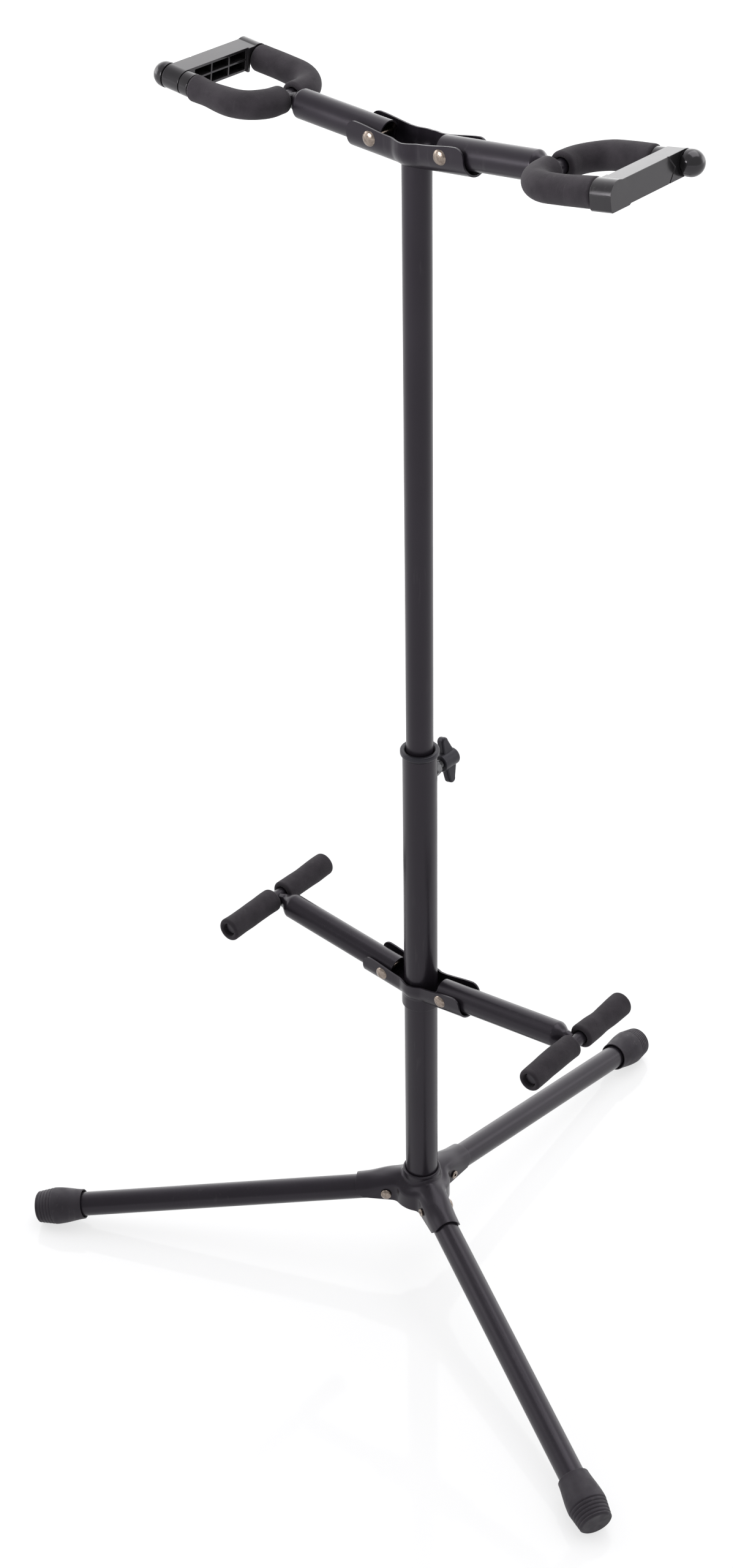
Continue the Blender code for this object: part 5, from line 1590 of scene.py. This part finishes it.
@dataclass(frozen=True)
class FoamSleeve:
    """A foam sleeve on a bar, with rounded rims, a bore and an opened mouth at both ends."""

    radius: float = 10.4 * MM
    bore: float = 6.2 * MM
    rim: float = 2.6 * MM
    mouth: float = 1.0 * MM
    depth: float = 7.0 * MM

    def piece(self, name: str, line: Line, start: float, end: float, squeeze: Squeeze,
              placement: Placement) -> Piece:
        """The sleeve along a line.

        A point lies at the line's place plus a radius times cosine of the angle along the line's side
        and sine of it along its up. The outside's radius is scaled by the sum of the slow waves, by the
        taper between its ends and by a Gaussian waist, and the bore keeps its own radius.

        Args:
            name: the piece's name.
            line: gives place, side and up for distances along the bar.
            start: distance at which the sleeve starts.
            end: distance at which it ends.
            squeeze: how it differs from a true sleeve.
            placement: axes that the line is drawn in.

        Returns:
            The piece.
        """
        quarter = np.linspace(0.0, math.pi / 2, 9)
        bore = self.bore
        mouth = bore + self.mouth
        setback = self.rim * (1.0 - np.sin(quarter))
        rim = self.radius - self.rim * (1.0 - np.cos(quarter))
        body = np.linspace(start + self.rim, end - self.rim, 90)[1:-1]
        inside = np.linspace(end - self.depth, start + self.depth, 40)[1:-1]
        along = np.concatenate([[start + self.depth, start + self.mouth, start], start + setback[::-1],
                                body, end - setback, [end, end - self.mouth, end - self.depth], inside])
        across = np.concatenate([[bore, bore, mouth], rim[::-1], np.full_like(body, self.radius), rim,
                                 [mouth, bore, bore], np.full_like(inside, bore)])
        share = np.clip((along - start) / (end - start), 0.0, 1.0)[:, None]
        angle = np.linspace(0.0, TURN, 56, endpoint=False)[None]
        waves = sum(wave.at(share, angle, squeeze.phase) for wave in WAVES)
        first, last = squeeze.ends
        waist = squeeze.waist * np.exp(-((share - squeeze.waist_at) / WAIST_WIDTH) ** 2)
        scale = (1.0 + squeeze.swell / 2 * waves) * (first + (last - first) * share) * (1.0 - waist)
        outer = np.clip((across - bore) / (self.radius - bore), 0.0, 1.0)[:, None]
        radius = across[:, None] * (1.0 + (scale - 1.0) * outer)
        place, side, up = line(along)
        bow = BOW.at(share, 0.0, squeeze.phase) * squeeze.drift * outer
        points = place[:, None] + side[:, None] * (radius * np.cos(angle))[..., None]
        points = points + up[:, None] * (radius * np.sin(angle) + bow)[..., None]
        return Skin(name).add(placement.world(points), wrap_rows=True, wrap_columns=True).piece()


def straight_line(x: float, sign: float) -> Line:
    """A straight bar's line.

    Args:
        x: the bar's distance from the pivot.
        sign: one to run along Y, or minus one to run against it.

    Returns:
        The line, which gives place, side and up for each distance.
    """

    def line(distance: Array) -> tuple[Array, Array, Array]:
        """Place, side and up at distances from the arm's plane."""
        place = np.stack([np.full_like(distance, x), sign * distance, 0 * distance], -1)
        return place, np.tile([1.0, 0.0, 0.0], (len(distance), 1)), np.tile(UP, (len(distance), 1))

    return line


@dataclass(frozen=True)
class BackRest:
    """A folding arm with a cross rod and two foam sleeves that a guitar's body leans on."""

    arm: ArmTube = ArmTube(pinch_length=11.5 * MM)
    slope: float = math.radians(6.29)
    length: float = 132.7 * MM
    foam: FoamSleeve = FoamSleeve()
    foam_start: float = 5.9 * MM
    foam_end: float = 65.5 * MM
    rod_radius: float = 5.5 * MM
    rod_recess: float = 3.5 * MM
    rod_edge: float = 0.8 * MM

    def pivot(self, side: Side) -> Placement:
        """Axes on the rest's pivot, with X out along the arm."""
        return hinge_placement(f"rest_fold_{side.value}", self.slope, flip=True)

    def build(self, shop: Workshop, side: Side) -> None:
        """Build one back rest.

        Args:
            shop: dresses the pieces.
            side: left or right.
        """
        at = side.value
        body = f"rest_{at}"
        pivot = self.pivot(side)
        arm = self.arm.piece(f"rest_arm_{at}", self.length, pivot)
        shop.finish(arm, body, Slot.STEEL, [f"lower_arm_{at}"])
        half, radius = self.foam_end - self.rod_recess, self.rod_radius
        profile = np.array([(0.0, half), (radius, half), (radius, -half), (0.0, -half)])
        rod = turned_piece(f"rest_bar_{at}", softened(profile, self.rod_edge, 4), 48,
                           pivot.moved(x=self.length).along_y())
        shop.finish(rod, body, Slot.STEEL, [f"rest_rod_{at}"])
        for sign, where in ((-side.facing, "front"), (side.facing, "back")):
            foam = self.foam.piece(f"rest_pad_{at}_{where}", straight_line(self.length, sign),
                                   self.foam_start, self.foam_end, REST_SQUEEZES[side][where], pivot)
            shop.finish(foam, body, Slot.FOAM, [f"rest_foam_{at}_{where}"])


@dataclass(frozen=True)
class Yoke:
    """A folding arm with a bent rod, two foam sleeves and the gate's fittings, round a guitar's neck."""

    arm: ArmTube = ArmTube()
    slope: float = math.radians(4.8)
    tilt: float = math.radians(2.8)
    length: float = 89.7 * MM
    half_spread: float = 38.6 * MM
    bend: float = 24.0 * MM
    reach: float = 79.8 * MM
    foam: FoamSleeve = FoamSleeve()
    foam_start: float = 5.3 * MM
    rod_radius: float = 5.5 * MM
    sleeve_length: float = 8.0 * MM
    sleeve_radius: float = 9.0 * MM
    bearing_radius: float = 7.0 * MM
    tip_radius: float = 7.5 * MM
    gate_depth: float = 15.5 * MM
    hook_depth: float = 17.0 * MM
    hook_wall: float = 2.2 * MM
    hook_play: float = 0.7 * MM
    wall: float = 2.0 * MM
    dome_radius: float = 9.45 * MM
    dome_neck: float = 7.75 * MM
    neck_length: float = 1.2 * MM
    dome_body: float = 2.6 * MM
    cap_depth: float = 7.0 * MM
    cap_edge: float = 0.7 * MM
    sleeve_edge: float = 0.45 * MM
    tip_edge: float = 1.1 * MM

    def bore(self) -> float:
        """Radius of the holes for the rod."""
        return self.rod_radius + PLAY

    def pivot(self, side: Side) -> Placement:
        """Axes on the yoke's pivot, with X out along the arm."""
        return hinge_placement(f"yoke_fold_{side.value}", self.slope, flip=True)

    def placement(self, side: Side) -> Placement:
        """Axes on the middle of the bent rod, with X out along its prongs."""
        return self.pivot(side).moved(x=self.length).tilted(self.tilt)

    def distance_at(self, x: float) -> float:
        """Distance along a half of the rod at which it has reached an X beyond the bend."""
        return self.half_spread - self.bend + self.bend * math.pi / 2 + x - self.bend

    def line(self, sign: float) -> Line:
        """The centre line of one half of the yoke: along Y, a quarter circle, then out along X.

        Args:
            sign: one for the half along Y, or minus one for the half against it.

        Returns:
            The line, which gives place, side and up for each distance.
        """

        def place_at(distance: Array) -> tuple[Array, Array, Array]:
            """Place, side and up.

            Args:
                distance: distances from the arm's plane.

            Returns:
                A point, and directions sideways and up, for each distance.
            """
            straight = self.half_spread - self.bend
            angle = np.clip((distance - straight) / self.bend, 0.0, math.pi / 2)
            beyond = np.maximum(distance - straight - self.bend * math.pi / 2, 0.0)
            x = self.bend * (1.0 - np.cos(angle)) + beyond
            y = np.minimum(distance, straight) + self.bend * np.sin(angle)
            place = np.stack([x, sign * y, 0 * distance], -1)
            side = np.stack([np.cos(angle), -sign * np.sin(angle), 0 * angle], -1)
            return place, side, np.tile(UP, (len(distance), 1))

        return place_at

    def rod(self, name: str, placement: Placement) -> Piece:
        """The bent rod: rings of one radius along both halves of the line, closed at its ends.

        Args:
            name: the piece's name.
            placement: axes on the middle of the rod.

        Returns:
            The piece.
        """
        pivot_end = self.distance_at(self.reach + PLAY + self.neck_length + self.cap_depth)
        hook_end = self.distance_at(self.reach - self.hook_wall - PLAY - self.wall)
        back = np.linspace(pivot_end, 0.0, 60)
        front = np.linspace(0.0, hook_end, 60)[1:]
        angle = np.linspace(0.0, TURN, 40, endpoint=False)[None, :, None]
        rows = []
        for sign, distance in ((1.0, back), (-1.0, front)):
            place, side, up = self.line(sign)(distance)
            ring = np.cos(angle) * side[:, None] + np.sin(angle) * up[:, None]
            rows.append(place[:, None] + self.rod_radius * ring)
        grid = placement.world(np.concatenate(rows))
        return Skin(name).add(grid, wrap_columns=True, caps=True).piece()

    def build(self, shop: Workshop, side: Side) -> None:
        """Build one yoke.

        Args:
            shop: dresses the pieces.
            side: left or right.
        """
        at = side.value
        body = f"yoke_{at}"
        arm = self.arm.piece(f"yoke_arm_{at}", self.length, self.pivot(side))
        shop.finish(arm, body, Slot.STEEL, [f"upper_arm_{at}"])
        yoke = self.placement(side)
        shop.finish(self.rod(f"yoke_bar_{at}", yoke), body, Slot.STEEL, [f"yoke_rod_{at}"])
        sleeve_start = self.reach - self.gate_depth - PLAY - self.sleeve_length
        tip_start = self.reach - self.hook_depth
        for sign, end in ((1.0, sleeve_start - PLAY), (-1.0, tip_start - PLAY)):
            where = "back" if sign * side.facing > 0 else "front"
            foam = self.foam.piece(f"yoke_pad_{at}_{where}", self.line(sign), self.foam_start,
                                   self.distance_at(end), YOKE_SQUEEZES[side][where], yoke)
            shop.finish(foam, body, Slot.FOAM, [f"yoke_foam_{at}_{where}"])
        prong = yoke.moved(y=self.half_spread).along_x()
        other = yoke.moved(y=-self.half_spread).along_x()
        sleeve = self.sleeve(f"prong_sleeve_{at}", sleeve_start, prong)
        shop.finish(sleeve, body, Slot.MOULDED, [f"gate_sleeve_{at}"])
        shop.finish(self.cap(f"domed_cap_{at}", prong), body, Slot.MOULDED, [f"gate_cap_{at}"])
        tip = self.tip(f"prong_end_{at}", tip_start, other)
        shop.finish(tip, body, Slot.MOULDED, [f"prong_tip_{at}"])

    def sleeve(self, name: str, start: float, prong: Placement) -> Piece:
        """Stepped sleeve behind the gate: a wide collar, then the bearing that the gate turns on.

        Args:
            name: the piece's name.
            start: distance from the bend at which it starts.
            prong: axes along the gate's prong.

        Returns:
            The piece.
        """
        bore = self.bore()
        shoulder = start + self.sleeve_length
        profile = np.array([(self.bearing_radius, self.reach), (self.bearing_radius, shoulder),
                            (self.sleeve_radius, shoulder), (self.sleeve_radius, start),
                            (bore, start), (bore, self.reach)])
        return turned_piece(name, softened(profile, self.sleeve_edge, 3, True), 72, prong, True)

    def tip(self, name: str, start: float, prong: Placement) -> Piece:
        """Cup on the end of the other prong, which the gate's hook drops over.

        Args:
            name: the piece's name.
            start: distance from the bend at which it starts.
            prong: axes along that prong.

        Returns:
            The piece.
        """
        bore = self.bore()
        end = self.reach - self.hook_wall - PLAY
        floor = end - self.wall + PLAY
        profile = np.array([(0.0, end), (self.tip_radius, end), (self.tip_radius, start), (bore, start),
                            (bore, floor), (0.0, floor)])
        return turned_piece(name, softened(profile, self.tip_edge, 4), 72, prong)

    def cap(self, name: str, prong: Placement) -> Piece:
        """Domed cap: a half ball on a short body, over a narrower neck and the rod's bore.

        Args:
            name: the piece's name.
            prong: axes along the gate's prong.

        Returns:
            The piece.
        """
        face = self.reach + PLAY
        neck_end = face + self.neck_length
        base = neck_end + self.dome_body
        inside = neck_end + self.cap_depth + PLAY
        bore = self.bore()
        dome = arc((0.0, base), self.dome_radius, math.pi / 2, 0.0, 20)
        lower = softened(np.array([(self.dome_radius, base), (self.dome_radius, neck_end),
                                   (self.dome_neck, neck_end), (self.dome_neck, face), (bore, face),
                                   (bore, inside), (0.0, inside)]), self.cap_edge, 4)
        return turned_piece(name, np.concatenate([dome[:-1], lower]), 72, prong)


@dataclass(frozen=True)
class GateBar:
    """Moulded gate bar: a barrel on one prong, a ribbed bar and a hook that drops over the other."""

    yoke: Yoke = Yoke()
    top: float = 9.5 * MM
    bottom: float = 8.7 * MM
    rib: float = 1.5 * MM
    leg: float = 9.6 * MM
    chamfer: float = 1.5 * MM
    groove_from_pivot: float = 12.9 * MM
    groove_rise: float = 7.5 * MM
    groove_width: float = 1.1 * MM
    groove_depth: float = 0.6 * MM
    groove_overrun: float = 2.0 * MM
    edge: float = 0.5 * MM
    pockets: int = 3

    def outline(self, hook_y: float, hook_radius: float) -> Array:
        """Side outline: half ellipse round the pivot, flat bottom, square leg and arch over the prong.

        Args:
            hook_y: place of the other prong's axis along the bar.
            hook_radius: outer radius of the arch.

        Returns:
            The outline's points.
        """
        spread = math.acos(self.top / hook_radius)
        near, far = hook_y + hook_radius, hook_y - hook_radius
        return np.concatenate([
            arc((0.0, 0.0), self.top, math.pi / 2, 0.0, 14),
            arc((0.0, 0.0), self.top, 0.0, -math.pi / 2, 14, self.bottom)[1:],
            [(near + self.chamfer, -self.bottom), (near, -self.leg),
             (far + self.chamfer, -self.leg), (far, self.chamfer - self.leg)],
            arc((hook_y, 0.0), hook_radius, math.pi, math.pi / 2 - spread, 28)])

    def build(self, shop: Workshop, side: Side) -> None:
        """Build one gate bar, cut from a block: step, opening, bore, pockets between ribs, and groove.

        Args:
            shop: dresses the piece.
            side: left or right.
        """
        at = side.value
        yoke = self.yoke
        flat = yoke.placement(side).moved(x=yoke.reach, y=yoke.half_spread).along_x()
        hook_y = -2.0 * yoke.half_spread
        slot = yoke.tip_radius + yoke.hook_play
        hook_radius = slot + yoke.hook_wall
        hook_edge = hook_y + hook_radius
        bore = yoke.bearing_radius + PLAY
        far = 2.0 * yoke.hook_depth
        outline = self.outline(hook_y, hook_radius)
        bar = extruded_piece(f"moulded_gate_{at}", outline, -yoke.hook_depth, 0.0, flat)
        opening = np.concatenate([arc((hook_y, 0.0), slot, 0.0, math.pi, 24),
                                  [(hook_y - slot, -far), (hook_y + slot, -far)]])
        carve(bar, [box_piece("step", (hook_edge, -far, -far), (far, far, -yoke.gate_depth), flat),
                    extruded_piece("opening", opening, -far, -yoke.hook_wall, flat),
                    cylinder_piece("bore", bore, -far, far, 64, flat),
                    *self.pocket_cutters(-bore - yoke.wall, hook_edge + yoke.wall, flat),
                    self.groove((self.top - self.bottom) / 2, flat)])
        soften_edges(bar, self.edge, 2, 40.0)
        shop.finish(bar, f"gate_{at}", Slot.MOULDED, [f"gate_bar_{at}"])

    def pocket_cutters(self, first: float, last: float, flat: Placement) -> list[Piece]:
        """Cutters for the pockets in the bar's back, in two rows either side of the middle rib.

        Args:
            first: where the first pocket starts, along the bar.
            last: where the last pocket ends.
            flat: axes on the pivot, with Z out of the bar's face.

        Returns:
            The cutters.
        """
        wall, deep = self.yoke.wall, 2.0 * self.yoke.hook_depth
        width = (first - last - (self.pockets - 1) * self.rib) / self.pockets
        middle, half_rib = (self.top - self.bottom) / 2, self.rib / 2
        cutters = []
        for column in range(self.pockets):
            high = first - column * (width + self.rib)
            for low_y, high_y in ((wall - self.bottom, middle - half_rib),
                                  (middle + half_rib, self.top - wall)):
                cutters.append(box_piece(f"pocket_{column}", (high - width, low_y, -deep),
                                         (high, high_y, -wall), flat))
        return cutters

    def groove(self, middle: float, flat: Placement) -> Piece:
        """Cutter for the V groove across the bar's outer face.

        Args:
            middle: where the V's point lies across the bar.
            flat: axes on the pivot, with Z out of the bar's face.

        Returns:
            The cutter, which runs a little beyond the bar's edges.
        """
        half = (self.top + self.bottom) / 2 + self.groove_overrun
        slant = self.groove_rise * half / (half - self.groove_overrun)
        near = -self.groove_from_pivot
        end = near - slant
        points = np.array([(near, middle), (end, middle + half),
                           (end - self.groove_width, middle + half),
                           (near - self.groove_width, middle),
                           (end - self.groove_width, middle - half), (end, middle - half)])
        return extruded_piece("groove", points, -self.groove_depth, self.groove_depth, flat)


@dataclass(frozen=True)
class Lamp:
    """A square lamp turned towards a point, whose light fans out by its spread in degrees."""

    name: str
    place: tuple[float, float, float]
    towards: tuple[float, float, float]
    size: float
    watts: float
    spread: float = 180.0

    def build(self) -> None:
        """Put the lamp in the scene."""
        light = bpy.data.lights.new(self.name, "AREA")
        light.shape = "SQUARE"
        light.size = self.size
        light.energy = self.watts
        light.spread = math.radians(self.spread)
        lamp = bpy.data.objects.new(self.name, light)
        lamp.location = self.place
        lamp.rotation_mode = "QUATERNION"
        lamp.rotation_quaternion = (Vector(self.towards) - Vector(self.place)).to_track_quat("-Z", "Y")
        bpy.context.scene.collection.objects.link(lamp)


LAMPS = (
    Lamp("overhead", (0.2, 0.6, 3.0), (0.0, 0.0, 0.5), 2.2, 40.0),
    Lamp("left_softbox", (-2.4, -1.0, 1.6), (0.0, 0.0, 0.6), 1.4, 14.0),
    Lamp("right_softbox", (1.6, 2.4, 1.5), (0.0, 0.0, 0.6), 1.4, 10.0),
    Lamp("yoke_light", (-0.35, -1.2, 1.35), (0.0, -0.08, 1.08), 0.5, 1.3, 50.0),
)
WHITE = (1.0, 1.0, 1.0, 1.0)


@dataclass(frozen=True)
class Studio:
    """Pale glossy floor, a graded backdrop, the lamps and the camera."""

    floor_half: float = 14.0
    floor_height: float = -0.2 * MM
    floor_colour: Colour = (0.24, 0.24, 0.245)
    floor_roughness: float = 0.06
    floor_specular: float = 0.2
    floor_fill: float = 0.78
    floor_glow: float = 0.69
    backdrop: float = 2.5
    room: float = 0.6
    room_from: float = -0.5
    room_to: float = 0.75
    distance: float = 2.1285
    yaw: float = math.radians(40.34)
    pitch: float = math.radians(33.21)
    roll: float = math.radians(-1.05)
    focal_px: float = 4254.44
    long_side_px: float = 2560.0
    target_height: float = 0.51679
    target_shift: float = -0.04366
    sensor: float = 36.0
    far_clip: float = 60.0

    def build(self, axis: Placement) -> None:
        """Build the floor, the lights and the camera.

        Args:
            axis: the column's axis, which the camera was measured from.
        """
        self.build_floor()
        self.build_lights()
        self.build_camera(axis)

    def back(self) -> Array:
        """Direction from the stand to the camera."""
        level = math.cos(self.pitch) * np.array([math.sin(self.yaw), -math.cos(self.yaw), 0.0])
        return level + UP * math.sin(self.pitch)

    def build_floor(self) -> None:
        """A level sheet just under the boots, lit from within as an overexposed floor, faintly glossy."""
        edge = np.array([-self.floor_half, self.floor_half])
        y, x = np.meshgrid(edge, edge, indexing="ij")
        corners = np.stack([x, y, np.full_like(x, self.floor_height)], -1)
        floor = Skin("studio_floor").add(corners, flip=True).piece(closed=False)
        made = bpy.data.materials.new("studio_white")
        made.use_nodes = True
        shader = made.node_tree.nodes["Principled BSDF"]
        for socket, value in (("Base Color", (*self.floor_colour, 1.0)),
                              ("Roughness", self.floor_roughness), ("Emission Color", WHITE),
                              ("Specular IOR Level", self.floor_specular)):
            shader.inputs[socket].default_value = value
        graph = Graph(made.node_tree)
        seen = graph.add("LightPath", {}).outputs["Is Camera Ray"]
        glow = graph.add("Mix", {0: seen, 2: self.floor_fill, 3: self.floor_glow})
        made.node_tree.links.new(glow.outputs[0], shader.inputs["Emission Strength"])
        floor.data.materials.append(made)

    def build_lights(self) -> None:
        """A white backdrop that darkens towards the camera's side of the room, and the lamps."""
        bpy.context.scene.view_settings.view_transform = "Standard"
        world = bpy.data.worlds.new("studio_world")
        bpy.context.scene.world = world
        world.use_nodes = True
        graph = Graph(world.node_tree)
        outwards = graph.add("TexCoord", {}).outputs["Generated"]
        facing = graph.add("VectorMath", {0: outwards, 1: Vector(-self.back())},
                           operation="DOT_PRODUCT").outputs["Value"]
        room = graph.remap(facing, self.room_from, self.room_to, self.room, self.backdrop,
                           interpolation_type="SMOOTHSTEP")
        seen = graph.add("LightPath", {}).outputs["Is Camera Ray"]
        strength = graph.add("Mix", {0: seen, 2: room, 3: 1.0})
        background = world.node_tree.nodes["Background"]
        world.node_tree.links.new(strength.outputs[0], background.inputs["Strength"])
        background.inputs["Color"].default_value = WHITE
        for lamp in LAMPS:
            lamp.build()

    def build_camera(self, axis: Placement) -> None:
        """The camera at the photograph's viewing angle, from its yaw, pitch, roll and distance.

        Args:
            axis: the column's axis, which the camera was measured from.
        """
        right = np.array([math.cos(self.yaw), math.sin(self.yaw), 0.0])
        back = self.back()
        up = np.cross(back, right)
        target = axis.origin + UP * self.target_height + right * self.target_shift
        rolled_right = math.cos(self.roll) * right + math.sin(self.roll) * up
        rolled_up = -math.sin(self.roll) * right + math.cos(self.roll) * up
        data = bpy.data.cameras.new("photo_camera")
        data.sensor_width = self.sensor
        data.lens = self.focal_px / self.long_side_px * self.sensor
        data.clip_end = self.far_clip
        camera = bpy.data.objects.new("photo_camera", data)
        matrix = np.eye(4)
        matrix[:3] = np.stack([rolled_right, rolled_up, back, target + back * self.distance], -1)
        camera.matrix_world = Matrix(matrix.tolist())
        bpy.context.scene.collection.objects.link(camera)
        bpy.context.scene.camera = camera


def main() -> None:
    """Build the studio and each sub-assembly in order."""
    logging.basicConfig(level=logging.INFO, format="%(message)s")
    effects = Effects.build()
    shop = Workshop({finish.slot: finish.material(effects) for finish in FINISHES})
    column = Column()
    axis = column.axis()
    Studio().build(axis)
    column.build(shop)
    leg = Leg()
    TripodHub().build(shop, axis, {side: leg.placement(side) for side in Side})
    for side in Side:
        leg.build(shop, side)
    rest = BackRest()
    yoke = Yoke()
    for name, body, tube, arms in (("lower", "base", column.outer, rest),
                                   ("upper", "mast", column.inner, yoke)):
        cradle = Cradle.on_pivot(arms.pivot(Side.LEFT), tube, arms.slope)
        cradle.build(shop, name, body, axis)
    for arms in (rest, yoke, GateBar()):
        for side in (Side.LEFT, Side.RIGHT):
            arms.build(shop, side)
    LOG.info("%d pieces made", shop.made)


if __name__ == "__main__":
    main()
